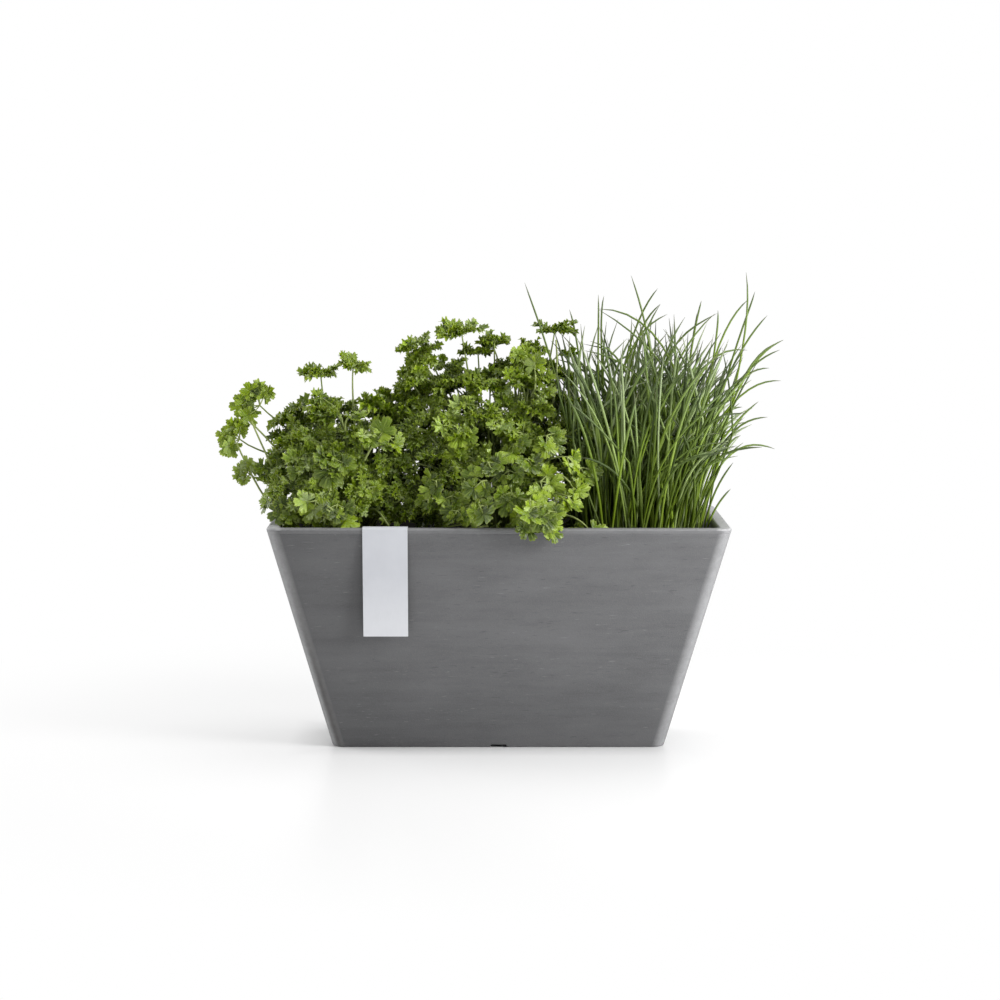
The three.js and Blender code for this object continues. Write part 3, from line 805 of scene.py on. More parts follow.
def damp_soil(name, dark, light, thread_share):
    material, tree, surface = plain_material(name, 0.3)
    lumps = put(tree, "ShaderNodeTexVoronoi", {
        "Vector": own_place(tree), "Scale": CRUMB_SCALE, "Randomness": 1.0,
    }).outputs["Distance"]
    patches = noise(tree, 90, 5.0, 0.6)
    earth = ramp(tree, patches, [(0.3, dark), (0.7, light)])
    threads = noise(tree, ROOT_SCALES, 2.0, 0.5)
    rooty = ramp(tree, threads, [(0.66 - thread_share, (0, 0, 0)), (0.70 - thread_share, (1, 1, 1))])
    colour = mixed(tree, maths(tree, "MULTIPLY", rooty, 4 * thread_share), earth, ROOT_COLOUR)
    relief = summed(tree, lumps, patches, 0.8)
    cover(tree, surface, colour, between(tree, patches, 0.8, 1.0), relief, SOIL_RELIEF)
    return material


soil_material = damp_soil("damp_soil", (0.012, 0.008, 0.005), (0.040, 0.027, 0.018), 0.0)
root_material = damp_soil("rooty_soil", (0.020, 0.014, 0.009), (0.060, 0.042, 0.028), 0.12)
for name, node in frame["nodes"].items():
    if name == "potting_soil":
        node.material_slots[0].material = soil_material
    if name.endswith("_rootball"):
        node.material_slots[0].material = root_material
print("soil and root balls have their materials")

# %% [markdown]
# # Trees that repeat and sweep
# Three small Geometry Nodes trees make everything that repeats. The first sets one of several shapes on
# each point of a guide, turned and sized by what the point says. The second sweeps a round section along
# every line of a guide, as thick as each point says. The third scatters shapes over a surface. Each ends as
# one plain mesh.


# %% Tree tools
def new_tree(name, inputs):
    """An empty Geometry Nodes tree with named inputs."""
    tree = bpy.data.node_groups.new(name, "GeometryNodeTree")
    tree.interface.new_socket("Guide", in_out="INPUT", socket_type="NodeSocketGeometry")
    for title, (kind, default) in inputs.items():
        socket = tree.interface.new_socket(title, in_out="INPUT", socket_type=kind)
        if default is not None:
            socket.default_value = default
    tree.interface.new_socket("Result", in_out="OUTPUT", socket_type="NodeSocketGeometry")
    return tree, tree.nodes.new("NodeGroupInput")


def ends_in(tree, geometry, material):
    """Closes a tree: one plain mesh with its material."""
    real = put(tree, "GeometryNodeRealizeInstances", {"Geometry": geometry})
    smooth = put(tree, "GeometryNodeSetShadeSmooth", {"Geometry": real.outputs[0]})
    dressed = put(tree, "GeometryNodeSetMaterial", {"Geometry": smooth.outputs[0], "Material": material})
    put(tree, "NodeGroupOutput", {0: dressed.outputs[0]})


def named(tree, name, kind):
    return put(tree, "GeometryNodeInputNamedAttribute", {"Name": name}, data_type=kind).outputs["Attribute"]


def grown(guide, tree, values, name):
    """Runs a tree on a guide and returns a piece with the result as a plain mesh."""
    modifier = guide.modifiers.new("nodes", "NODES")
    modifier.node_group = tree
    for item in tree.interface.items_tree:
        if item.in_out == "INPUT" and item.name in values:
            modifier[item.identifier] = values[item.name]
    evaluated = guide.evaluated_get(bpy.context.evaluated_depsgraph_get())
    mesh = bpy.data.meshes.new_from_object(evaluated)
    mesh.name = name
    piece = in_scene(name, mesh)
    bpy.data.objects.remove(guide)
    tell(piece)
    return piece


# %% The three trees
def shapes_given(tree, given):
    """The shapes that a tree is given, one by one and each at its own origin."""
    return put(tree, "GeometryNodeCollectionInfo", {
        "Collection": given.outputs["Shapes"], "Separate Children": True, "Reset Children": True,
    }).outputs[0]


def planting_tree():
    tree, given = new_tree("set_shapes_on_points", {
        "Shapes": ("NodeSocketCollection", None),
        "Material": ("NodeSocketMaterial", None),
    })
    placed = put(tree, "GeometryNodeInstanceOnPoints", {
        "Points": given.outputs["Guide"],
        "Instance": shapes_given(tree, given),
        "Pick Instance": True,
        "Instance Index": named(tree, "shape", "INT"),
        "Rotation": named(tree, "turn", "QUATERNION"),
        "Scale": named(tree, "size", "FLOAT_VECTOR"),
    })
    ends_in(tree, placed.outputs[0], given.outputs["Material"])
    return tree


def sweeping_tree():
    tree, given = new_tree("sweep_along_lines", {
        "Sides": ("NodeSocketInt", 5),
        "Material": ("NodeSocketMaterial", None),
    })
    lines = put(tree, "GeometryNodeMeshToCurve", {"Mesh": given.outputs["Guide"]})
    section = put(tree, "GeometryNodeCurvePrimitiveCircle", {
        "Resolution": given.outputs["Sides"], "Radius": 1.0,
    })
    swept = put(tree, "GeometryNodeCurveToMesh", {
        "Curve": lines.outputs[0],
        "Profile Curve": section.outputs[0],
        "Scale": named(tree, "girth", "FLOAT"),
        "Fill Caps": True,
    })
    ends_in(tree, swept.outputs[0], given.outputs["Material"])
    return tree


def scattering_tree():
    tree, given = new_tree("scatter_over_surface", {
        "Shapes": ("NodeSocketCollection", None),
        "Per square metre": ("NodeSocketFloat", 100000.0),
        "Smallest": ("NodeSocketFloat", 0.5),
        "Largest": ("NodeSocketFloat", 1.5),
        "Seed": ("NodeSocketInt", 3),
        "Material": ("NodeSocketMaterial", None),
    })
    spots = put(tree, "GeometryNodeDistributePointsOnFaces", {
        "Mesh": given.outputs["Guide"],
        "Density": given.outputs["Per square metre"],
        "Seed": given.outputs["Seed"],
    })
    turn = put(tree, "FunctionNodeRandomValue", {
        0: (0, 0, 0), 1: (math.tau, math.tau, math.tau), "Seed": given.outputs["Seed"],
    }, data_type="FLOAT_VECTOR")
    size = put(tree, "FunctionNodeRandomValue", {
        2: given.outputs["Smallest"], 3: given.outputs["Largest"], "Seed": given.outputs["Seed"],
    })
    placed = put(tree, "GeometryNodeInstanceOnPoints", {
        "Points": spots.outputs["Points"],
        "Instance": shapes_given(tree, given),
        "Pick Instance": True,
        "Rotation": turn.outputs[0],
        "Scale": size.outputs[1],
    })
    ends_in(tree, placed.outputs[0], given.outputs["Material"])
    return tree


set_shapes = planting_tree()
sweep = sweeping_tree()
scatter = scattering_tree()
print("trees:", [tree.name for tree in (set_shapes, sweep, scatter)])

# %% [markdown]
# # Loose crumbs on the soil
# Potting soil is peat and bark in lumps of one to four millimetres. A few lumpy shapes, made by pushing the
# points of a coarse ball about, are enough when each one is turned and sized at random and thousands lie
# over each other.

# %% Crumbs
SOIL_LEVEL = 130
SOIL_WAVE = 0.9
CRUMB_RADIUS = 1.2
CRUMB_SHAPES = 4
CRUMB_SIZES = (0.5, 1.7)
CRUMBS_PER_SQUARE_METRE = 190000.0
CRUMBS_ABOVE_SOIL = 1.6
CRUMBS_OFF_WALL = 2.5
CRUMB_COLUMNS = 54
CRUMB_ROWS = 24


def crumb_shape(number):
    """A ball of twenty faces that is stretched and dented at random."""
    dice = random.Random(100 + number)
    shape = bmesh.new()
    bmesh.ops.create_icosphere(shape, subdivisions=1, radius=CRUMB_RADIUS * MM)
    stretch = Vector((dice.uniform(0.6, 1.5), dice.uniform(0.6, 1.2), dice.uniform(0.5, 0.9)))
    for vertex in shape.verts:
        vertex.co = vertex.co * stretch * dice.uniform(0.75, 1.2)
    mesh = bpy.data.meshes.new(f"crumb_{number}")
    shape.to_mesh(mesh)
    shape.free()
    return bpy.data.objects.new(f"crumb_{number}", mesh)


def shelf(name, shapes):
    """A collection that holds shapes for a tree and isn't part of the scene."""
    collection = bpy.data.collections.new(name)
    for shape in shapes:
        collection.objects.link(shape)
    return collection


def clear_shelf(collection):
    for shape in list(collection.objects):
        bpy.data.objects.remove(shape)
    bpy.data.collections.remove(collection)


def soil_height(x, y):
    """The uneven top of the solid bed, and a little above it."""
    wave = math.sin(x * 0.13 + 1.3) * math.cos(y * 0.19) + 0.5 * math.sin(x * 0.37 + y * 0.29)
    return SOIL_LEVEL + CRUMBS_ABOVE_SOIL + SOIL_WAVE * wave


def soil_guide():
    """A sheet just over the soil, inside the walls."""
    drawn_in = drawn_in_at(SOIL_LEVEL, WALL_THICKNESS + CRUMBS_OFF_WALL)
    half_length = TOP_LENGTH / 2 - drawn_in
    half_width = TOP_WIDTH / 2 - drawn_in
    points = []
    for row in range(CRUMB_ROWS + 1):
        for column in range(CRUMB_COLUMNS + 1):
            x = half_length * (2 * column / CRUMB_COLUMNS - 1)
            y = half_width * (2 * row / CRUMB_ROWS - 1)
            points.append(Vector((x, y, soil_height(x, y))))
    across = CRUMB_COLUMNS + 1
    corners = [row * across + column for row in range(CRUMB_ROWS) for column in range(CRUMB_COLUMNS)]
    faces = [(first, first + 1, first + across + 1, first + across) for first in corners]
    return mesh_piece("soil_guide", points, faces)


crumb_shelf = shelf("crumb_shapes", [crumb_shape(number) for number in range(CRUMB_SHAPES)])
crumbs = grown(soil_guide(), scatter, {
    "Shapes": crumb_shelf,
    "Per square metre": CRUMBS_PER_SQUARE_METRE,
    "Smallest": CRUMB_SIZES[0],
    "Largest": CRUMB_SIZES[1],
    "Seed": 5,
    "Material": soil_material,
}, "soil_crumbs")
clear_shelf(crumb_shelf)
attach(crumbs, "trough")

# %% [markdown]
# # Lines that grow
# Stems and blades are lines first. A line starts at a foot, bends on its way and ends at a tip. It is kept
# as a chain of points joined by edges, and each point says how thick the plant is there, how far along the
# line it lies and how pale it is. The sweep then turns all the chains of a plant into one mesh.


# %% Lines
class Guide:
    """Points, the edges between them and what each point says: what a tree grows a piece from."""

    def __init__(self, kinds):
        self.points, self.edges = [], []
        self.kinds = kinds
        self.values = {title: [] for title in kinds}

    def say(self, **values):
        for title, more in values.items():
            self.values[title] += more

    def piece(self, name):
        piece = mesh_piece(name, self.points, edges=self.edges)
        for title, kind in self.kinds.items():
            write_values(piece.data, title, kind, self.values[title])
        return piece


class Lines(Guide):
    """Chains of points that a sweep turns into stems or blades."""

    def __init__(self):
        super().__init__({"girth": "FLOAT", "along": "FLOAT", "tint": "FLOAT"})

    def add(self, points, girths, tint):
        start = len(self.points)
        count = len(points)
        self.points += points
        self.edges += [(start + i, start + i + 1) for i in range(count - 1)]
        along = [i / (count - 1) for i in range(count)]
        self.say(girth=[girth * MM for girth in girths], along=along, tint=[tint] * count)


def bent(points, steps):
    """A Bezier curve through its end points, drawn towards those between."""
    result = []
    for step in range(steps + 1):
        row = list(points)
        while len(row) > 1:
            row = [a.lerp(b, step / steps) for a, b in zip(row, row[1:])]
        result.append(row[0])
    return result


# %% [markdown]
# # Chives
# Chives are hollow round leaves two millimetres thick that taper to a point. A clump holds hundreds, close
# together at the foot and fanned out at the tip. Their feet follow the golden angle, which fills an oval
# evenly. The nearer a blade stands to the edge, the more it leans out. Half of the blades have been pushed
# over and bend to one side, and a third have a sharp bend. The long ones that show against the white, and a
# few that cross the others near the top, are set one by one.

# %% Chive sizes
CHIVE_CROWN = top_of("chives_rootball")
CHIVE_TUFT = (45, 42)  # how far the tuft's feet reach from its middle, along X and Y
CHIVE_TUFT_FILLED = 0.95  # the share of the tuft in which blades stand
CHIVE_FEET_RISE = 2  # above the crown
CHIVE_REACH_X = (-60, 84)  # how far from the crown the tips of the tuft may be
CHIVE_REACH_Y = (-72, 82)
CHIVE_REACH_USED = (0.72, 1.0)  # the share of that reach that a blade may use
CHIVE_LEAST_LEAN = 0.1  # the share of its lean that a blade keeps in any case
CHIVE_LEAST_RISE = 0.05  # keeps a bent blade from growing downwards
CHIVE_COUNT = 570
CHIVE_RADIUS = 0.84
CHIVE_GIRTHS = (0.7, 1.15)  # the thinnest and the thickest blade, as shares of that radius
CHIVE_FOOT_GIRTH = 0.75  # a blade is thinner at its foot, and widens by this much over its length
CHIVE_WIDENING = 1.2
CHIVE_TIP_GIRTH = 0.1
CHIVE_LENGTH = 153
CHIVE_SPREAD = 0.5  # the shortest blades are this share shorter
CHIVE_LEAN = (10, 13)  # degrees that the outermost blades lean out, along X and Y
CHIVES_PUSHED = 0.5  # the share of blades that bend over to one side
CHIVE_STEPS = 12
CHIVE_SEED = 7
PUSHED_BEND = (30, 100)  # degrees that a pushed blade bends
USUAL_BEND = 26  # degrees that most of the others bend at most
BEND_SIDES = (-1, -1, 1, 1, 1)  # more blades bend to the right than to the left
BEND_SIDEWAYS = (0.5, 1.0)  # the share of its bend that goes sideways; the rest goes backwards
BEND_POWER = 1.8  # the higher, the nearer to its tip a blade bends
KINKED_SHARE = 0.35  # of the blades have a sharp bend in their upper half
KINK = (12, 38)  # degrees
KINK_FROM_STEP = 5
STRAY_X = (2, 8)  # degrees that a blade strays from its lean: the middle and the spread
STRAY_Y = (0, 7)
TIP_POWER = 14  # the higher, the shorter the tapered end

LONG_CHIVE_RADIUS = 0.72
LONG_CHIVE_FOOT = 134
LONG_CHIVE_TINTS = (0.25, 0.6)
CROSSING_CHIVE_TINTS = (0.3, 0.7)
long_chives = [  # blades against the white: depth, X of the foot, then X and Z of two bends and the tip
    (-8, 60, (44, 240), (27, 277), (17, 306)), (0, 70, (64, 230), (67, 274), (66, 298)),
    (6, 74, (70, 240), (66, 282), (70, 297)), (4, 66, (56, 240), (53, 271), (47, 288)),
    (-12, 112, (106, 250), (97, 283), (87, 311)), (8, 70, (76, 256), (95, 289), (106, 302)),
    (-4, 74, (84, 268), (94, 280), (107, 292)), (2, 68, (74, 254), (90, 275), (112, 285)),
    (-10, 90, (100, 262), (114, 270), (144, 286)), (6, 116, (127, 270), (132, 281), (135, 294)),
    (-6, 126, (142, 258), (146, 275), (145, 288)), (3, 116, (138, 254), (150, 281), (166, 295)),
    (0, 134, (158, 238), (169, 278), (164, 313)), (10, 128, (150, 250), (167, 284), (171, 300)),
    (-14, 112, (146, 246), (163, 270), (177, 285)), (5, 124, (158, 250), (175, 261), (190, 268)),
    (-9, 108, (150, 243), (168, 255), (186, 262)), (0, 104, (146, 230), (168, 242), (188, 241)),
    (8, 100, (144, 239), (166, 249), (181, 249)), (-4, 118, (147, 209), (161, 216), (179, 217)),
    (5, 126, (147, 200), (166, 202), (185, 195)), (-12, 112, (145, 206), (159, 217), (172, 228)),
    (6, 106, (136, 212), (152, 223), (163, 223)), (0, 128, (140, 186), (150, 201), (162, 211)),
    (-8, 136, (139, 160), (146, 174), (156, 187)), (-14, 136, (140, 152), (146, 162), (154, 170)),
    (-20, 132, (137, 222), (112, 262), (65, 289)), (-22, 120, (112, 236), (92, 256), (56, 262)),
]
crossing_chives = [  # blades that cross the others near the top: foot, the place each is drawn to, and tip
    ((136, 0, 146), (128, -16, 290), (65, -12, 289)), ((96, 0, 146), (100, -20, 250), (142, -16, 286)),
    ((110, 5, 146), (96, -24, 262), (60, -20, 268)), ((120, 0, 146), (116, -22, 270), (164, -14, 262)),
    ((100, 0, 146), (92, -26, 240), (122, -22, 284)), ((90, 5, 146), (104, -24, 236), (140, -20, 258)),
    ((130, 0, 146), (142, -20, 240), (108, -18, 276)), ((84, 0, 146), (78, -20, 250), (106, -16, 292)),
    ((124, 6, 146), (118, -26, 230), (86, -22, 250)), ((140, 0, 146), (150, -16, 250), (182, -10, 266)),
]


# %% Chives
def chive_girths(steps, radius):
    """Thin at the foot, full for most of the blade, then down to a point."""
    shares = [i / steps for i in range(steps + 1)]
    widths = [min(CHIVE_FOOT_GIRTH + CHIVE_WIDENING * share, 1.0) for share in shares]
    tapers = [max(1 - share**TIP_POWER, CHIVE_TIP_GIRTH) for share in shares]
    return [radius * width * taper for width, taper in zip(widths, tapers)]


def chive_foot(i, count):
    share = CHIVE_TUFT_FILLED * math.sqrt((i + 0.5) / count)
    angle = i * GOLDEN_ANGLE
    x = CHIVE_CROWN.x + CHIVE_TUFT[0] * share * math.cos(angle)
    y = CHIVE_CROWN.y + CHIVE_TUFT[1] * share * math.sin(angle)
    return Vector((x, y, CHIVE_CROWN.z + CHIVE_FEET_RISE))


def chive_line(foot, dice):
    """A walk up from the foot: it starts at a lean and turns a little at every step, more near the tip."""
    length = CHIVE_LENGTH * (1 - CHIVE_SPREAD * dice.random())
    pushed_over = dice.random() < CHIVES_PUSHED
    bend = math.radians(dice.uniform(*PUSHED_BEND) if pushed_over else abs(dice.gauss(0, USUAL_BEND)))
    bend_side = dice.choice(BEND_SIDES) * dice.uniform(*BEND_SIDEWAYS)
    kinked = dice.random() < KINKED_SHARE
    kink_step = dice.uniform(KINK_FROM_STEP, CHIVE_STEPS) if kinked else CHIVE_STEPS
    kink = math.radians(dice.uniform(*KINK)) * dice.choice((-1, 1))
    off_middle = foot - CHIVE_CROWN
    lean_x = math.radians(off_middle.x / CHIVE_TUFT[0] * CHIVE_LEAN[0] + dice.gauss(*STRAY_X))
    lean_y = math.radians(off_middle.y / CHIVE_TUFT[1] * CHIVE_LEAN[1] + dice.gauss(*STRAY_Y))
    points = [foot]
    for step in range(CHIVE_STEPS):
        turned = bend * ((step + 1) / CHIVE_STEPS) ** BEND_POWER
        sideways = lean_x + turned * bend_side + (kink if step > kink_step else 0)
        backwards = lean_y + turned * (1 - abs(bend_side))
        upwards = max(math.cos(sideways), CHIVE_LEAST_RISE)
        direction = Vector((math.sin(sideways), math.sin(backwards), upwards)).normalized()
        points.append(points[-1] + direction * length / CHIVE_STEPS)
    return drawn_in_to_reach(points, dice)


def reach_share(start, end, reach, dice):
    """The share of its lean that a blade may keep, so that its tip stays within reach of the crown."""
    lean = end - start
    if abs(lean) < 1:
        return 1.0
    furthest = reach[lean > 0] * dice.uniform(*CHIVE_REACH_USED)
    return clamped((furthest - start) / lean, CHIVE_LEAST_LEAN, 1.0)


def drawn_in_to_reach(points, dice):
    """Makes a blade steeper where its tip would lie too far out."""
    foot = points[0]
    start, end = foot - CHIVE_CROWN, points[-1] - CHIVE_CROWN
    share_x = reach_share(start.x, end.x, CHIVE_REACH_X, dice)
    share_y = reach_share(start.y, end.y, CHIVE_REACH_Y, dice)
    return [foot + (point - foot) * Vector((share_x, share_y, 1)) for point in points]


def long_chive_line(depth, foot_x, *places):
    places = ((foot_x, LONG_CHIVE_FOOT), *places)
    return bent([Vector((x, depth, z)) for x, z in places], CHIVE_STEPS)


def chive_lines():
    dice = random.Random(CHIVE_SEED)
    lines = Lines()
    for i in range(CHIVE_COUNT):
        girths = chive_girths(CHIVE_STEPS, CHIVE_RADIUS * dice.uniform(*CHIVE_GIRTHS))
        lines.add(chive_line(chive_foot(i, CHIVE_COUNT), dice), girths, dice.random())
    girths = chive_girths(CHIVE_STEPS, LONG_CHIVE_RADIUS)
    for long_chive in long_chives:
        lines.add(long_chive_line(*long_chive), girths, dice.uniform(*LONG_CHIVE_TINTS))
    for places in crossing_chives:
        points = bent([Vector(place) for place in places], CHIVE_STEPS)
        lines.add(points, girths, dice.uniform(*CROSSING_CHIVE_TINTS))
    return lines


# %% Chive colours
CHIVE_ALONG = [  # from foot to tip
    (0.0, (0.24, 0.30, 0.07)), (0.18, (0.165, 0.240, 0.008)), (0.5, (0.200, 0.290, 0.022)),
    (0.90, (0.140, 0.195, 0.060)), (1.0, (0.12, 0.11, 0.06)),
]
CHIVE_SHADES = [(0.0, (0.25, 0.28, 0.26)), (0.5, (0.90, 0.93, 0.90)), (1.0, (1.6, 1.6, 1.7))]
CHIVE_WAX_AND_SHEEN = [(0.66, (0, 0, 0)), (1.0, (0.60, 0.60, 0.60))]  # how whitish a blade of each tint is, from a waxy bloom and a painted sheen
CHIVE_WAX_AND_SHEEN_COLOUR = (0.42, 0.48, 0.32)
CHIVE_GRAIN_COLOUR = (0.05, 0.10, 0.03)
CHIVE_GRAIN_SCALES = (900, 900, 60)
CHIVE_RELIEF = 0.015


def chive_skin():
    material, tree, surface = plain_material("chive_skin", 0.32)
    tint = attribute(tree, "tint")
    shaded = mixed(tree, 1.0, ramp(tree, attribute(tree, "along"), CHIVE_ALONG),
                   ramp(tree, tint, CHIVE_SHADES), "MULTIPLY")
    # The palest blades are whitish: a waxy bloom and a painted sheen.
    waxed_and_sheened = mixed(tree, ramp(tree, tint, CHIVE_WAX_AND_SHEEN), shaded, CHIVE_WAX_AND_SHEEN_COLOUR)
    grain = noise(tree, CHIVE_GRAIN_SCALES, 3.0, 0.5)
    colour = mixed(tree, between(tree, grain, 0.0, 0.16), waxed_and_sheened, CHIVE_GRAIN_COLOUR)
    cover(tree, surface, colour, between(tree, grain, 0.32, 0.52), grain, CHIVE_RELIEF)
    return material


chive_tools = {"Sides": 6, "Material": chive_skin()}
chives = grown(chive_lines().piece("chive_lines"), sweep, chive_tools, "chive_blades")
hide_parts("chives")
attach(chives, "trough")

# %% [markdown]
# # Parsley leaflets
# A parsley leaf is a frond of small leaflets. Each leaflet is a fan of three lobes with teeth round the
# edge. In curly parsley the edge is longer than the blade can hold, so it folds into crests. Near the rim
# older leaves lie flatter, broader and paler. One recipe makes both kinds: a fan of points that is pleated
# from its foot, with the crests as one number and the depth of the teeth as another. The upper and lower
# skins share the rim, so the leaflet is thin and closed. Each point also keeps its place in the flat
# leaflet, from which the material draws the veins.

# %% Leaflet shapes
LOBE_TURN = math.radians(58)
LOBE_SPACING = 1.08 * LOBE_TURN
LEAFLET_THICKNESS = 0.05  # as a share of its length
LOBE_FULLNESS = 4  # the higher, the squarer a lobe's end
LEAFLET_SHARP = math.radians(50)  # folds sharper than this stay crisp
RIBS = 7
FOOT_CORNERS = 0.45  # how far the leaflet's two lowest corners reach, as a share of the others
LOBE_RIB = 0.52  # how far a rib reaches along a lobe
GAP_RIB = 0.62  # how far a rib reaches between two lobes, as a share of the notch there
END_RIB = 0.35
RIBS_PER_LOBE = 2.08
RIB_RISE = 0.5  # how high the ribs on the lobes stand and how deep the others lie, as shares of the pleats
RIB_DIP = -0.7
TURNED_BACK = 0.5  # how much shorter a tooth looks that turns back, as a share of its crest


def rim_point(angle, radius, lift, cup):
    return Vector((radius * math.sin(angle), radius * math.cos(angle), lift + cup * radius * radius))


def lobe_rim(lobe, form):
    """The points along one lobe's edge: dips, with the points of a tooth between them."""
    per_tooth = form["tooth_points"] + 1
    steps = form["teeth"] * per_tooth
    length = 1.0 if lobe == 0 else form["side_reach"]
    points = []
    for step in range(steps):
        turn = 2 * step / steps - 1
        reach = length * (form["notch"] + (1 - form["notch"]) * (1 - abs(turn) ** LOBE_FULLNESS))
        turned_back = (step // per_tooth + lobe) % 2
        lift = form["crest"] if turned_back else -0.5 * form["crest"]
        if turned_back:
            reach *= 1 - TURNED_BACK * form["crest"]
        if step % per_tooth == 0:
            reach *= 1 - form["tooth"]
            lift = -form["pleat"] if step == 0 else 0.0
        if step == 0 and lobe == -1:
            reach *= FOOT_CORNERS
        points.append(rim_point(lobe * LOBE_SPACING + turn * LOBE_TURN / 2, reach, lift, form["cup"]))
    return points


def leaflet_rim(form):
    """The points round a leaflet of length 1, foot at the origin and tip along +Y, from left to right."""
    rim = [point for lobe in (-1, 0, 1) for point in lobe_rim(lobe, form)]
    end_reach = FOOT_CORNERS * form["notch"] * form["side_reach"]
    return rim + [rim_point(LOBE_SPACING + LOBE_TURN / 2, end_reach, -form["pleat"], form["cup"])]


def leaflet_ribs(form):
    """Points half way out: raised along the lobes and sunk between them."""
    ribs = []
    for i in range(RIBS):
        from_middle = i - RIBS // 2
        on_lobe = i % 2 == 1
        reach = form["side_reach"] if abs(from_middle) > 1 else 1.0
        radius = reach * (LOBE_RIB if on_lobe else GAP_RIB * form["notch"])
        if i in (0, RIBS - 1):
            radius = END_RIB * form["notch"] * reach
        lift = (RIB_RISE if on_lobe else RIB_DIP) * form["pleat"]
        ribs.append(rim_point(from_middle * LOBE_SPACING / RIBS_PER_LOBE, radius, lift, form["cup"]))
    return ribs


def zipped(inner, outer):
    """The triangles between two rows of points that lie side by side."""
    faces = []
    i = j = 0
    while i < len(inner) - 1 or j < len(outer) - 1:
        if (j + 0.5) * (len(inner) - 1) < (i + 0.5) * (len(outer) - 1):
            faces.append((inner[i], outer[j + 1], outer[j]))
            j += 1
        else:
            faces.append((inner[i], inner[i + 1], outer[j]))
            i += 1
    return faces


def leaflet_skin(rim, ribs):
    """The upper skin's triangles: foot to ribs, and ribs to rim."""
    faces = [(0, ribs[0], rim[0]), (0, rim[-1], ribs[-1])]
    faces += [(0, right, left) for left, right in zip(ribs, ribs[1:])]
    return faces + zipped(ribs, rim)


def leaflet(name, **form):
    """A closed leaflet of a few dozen faces."""
    rim = leaflet_rim(form)
    ribs = leaflet_ribs(form)
    rise = Vector((0, 0, LEAFLET_THICKNESS / 2))
    points = [Vector((0, 0, 0))] + rim + [rib + rise for rib in ribs] + [rib - rise for rib in ribs]
    rim_row = range(1, 1 + len(rim))
    upper_row = range(1 + len(rim), 1 + len(rim) + RIBS)
    lower_row = range(1 + len(rim) + RIBS, 1 + len(rim) + 2 * RIBS)
    faces = leaflet_skin(rim_row, upper_row)
    faces += [tuple(reversed(face)) for face in leaflet_skin(rim_row, lower_row)]
    mesh = bpy.data.meshes.new(name)
    mesh.from_pydata([tuple(point) for point in points], [], faces)
    mesh.set_sharp_from_angle(angle=LEAFLET_SHARP)
    flat = [value for point in points for value in (point.x, point.y, 0.0)]
    write_values(mesh, "flat", "FLOAT_VECTOR", flat)
    write_values(mesh, "edge", "FLOAT", [0.0] + [1.0] * len(rim) + [0.0] * 2 * RIBS)
    return bpy.data.objects.new(name, mesh)


CURLY_SHAPES = (0, 1, 2)
BROAD_SHAPES = (3, 4)
form_words = ("side_reach", "notch", "tooth", "crest", "cup", "pleat")
leaflet_forms = [  # name, then what each of the form words is, as a share of the leaflet's length
    ("leaflet_0_curly", 0.92, 0.66, 0.12, 0.20, -0.12, 0.16),
    ("leaflet_1_crested", 0.98, 0.62, 0.13, 0.28, 0.18, 0.20),
    ("leaflet_2_rolled", 0.86, 0.70, 0.11, 0.24, -0.36, 0.16),
    ("leaflet_3_broad", 0.92, 0.60, 0.11, 0.04, -0.12, 0.06),
    ("leaflet_4_cupped", 0.96, 0.56, 0.12, 0.06, 0.15, 0.08),
]
leaf_shelf = shelf("leaf_shapes", [
    leaflet(name, **dict(zip(form_words, numbers)), teeth=3, tooth_points=2)
    for name, *numbers in leaflet_forms
])

# %% [markdown]
# # Parsley sprays
# A stem ends in a fork, and fronds spread from the fork, like the ribs of an umbrella or like a fan. Each
# frond is a stalk with one leaflet at its end and pairs beside it. The left plant has about ninety such
# sprays and the middle one about a hundred and thirty, with small ones low down between them. Those that
# show in the picture are set one by one, at places read off it in millimetres. The rest fill a dome round
# the crown by the golden angle, so that the plant is just as full from behind.

# %% Spray sizes
PARSLEY_SEED = 11

STEM_RADIUS = 0.8
STEM_STEPS = 10
STEM_FOOT_OUT = 9  # how far from the crown's middle a stem stands at most
STEM_BEND_PLACE = 0.38  # a stem's bend, as a share of the way to its spray
STEM_BEND_RISE = 0.66  # how high it lies: this share of the rise and this share of the lean
STEM_BEND_LEAN = 0.24
STEM_BEND_JITTER = 4
STEM_ARRIVAL = 0.12  # the share of its length in which a stem turns to its spray's direction
STALK_RADIUS = 0.36
STALK_GIRTHS = (1.3, 1.1, 0.95, 0.8)
STALK_JITTER = 0.10

PAIR_TURNS = (46, 72)  # degrees between a stalk and the leaflets beside it
LEAFLET_LENGTHS = (0.8, 1.2)  # the shortest and the longest, as shares of the usual length
LEAFLET_WIDTHS = (0.9, 1.15)
LEAFLET_JITTER = 0.14
LEAFLET_OFF_STALK = 0.04
LEAFLET_NOD = 0.6  # how much a leaflet nods, as a share of how much it rolls

UMBEL_RIBS = 10
UMBEL_SPREAD = (50, 88)  # degrees between an umbrella's axis and its ribs, from the middle to the edge
UMBEL_REACH = (0.75, 1.15)  # the shortest and the longest rib, as shares of the radius
UMBEL_FORK = 0.35  # how far below its middle an umbrella forks, as a share of the radius
UMBEL_LOOKS_UP = 0.3  # how much an umbrella faces upwards, beside outwards
UMBEL_JITTER = 0.12
UMBEL_RIB_JITTER = 0.4
UMBEL_LEAVES_UP = 0.25
FAN_FORK = 0.45
FAN_SIDES_SHORTER = 0.2  # how much shorter a fan's outermost fronds are
FAN_TURN_JITTER = 9
FAN_LIFT = 0.1  # how far its fronds rise out of its plane
FAN_JITTER = 0.25
ARCH_STEPS = 12
ARCH_KNEE = 0.35  # the place of an arch's knee between its start and the crown, and its height above them
ARCH_KNEE_RISE = 12
ARCH_LEAF_SHADE = 0.05
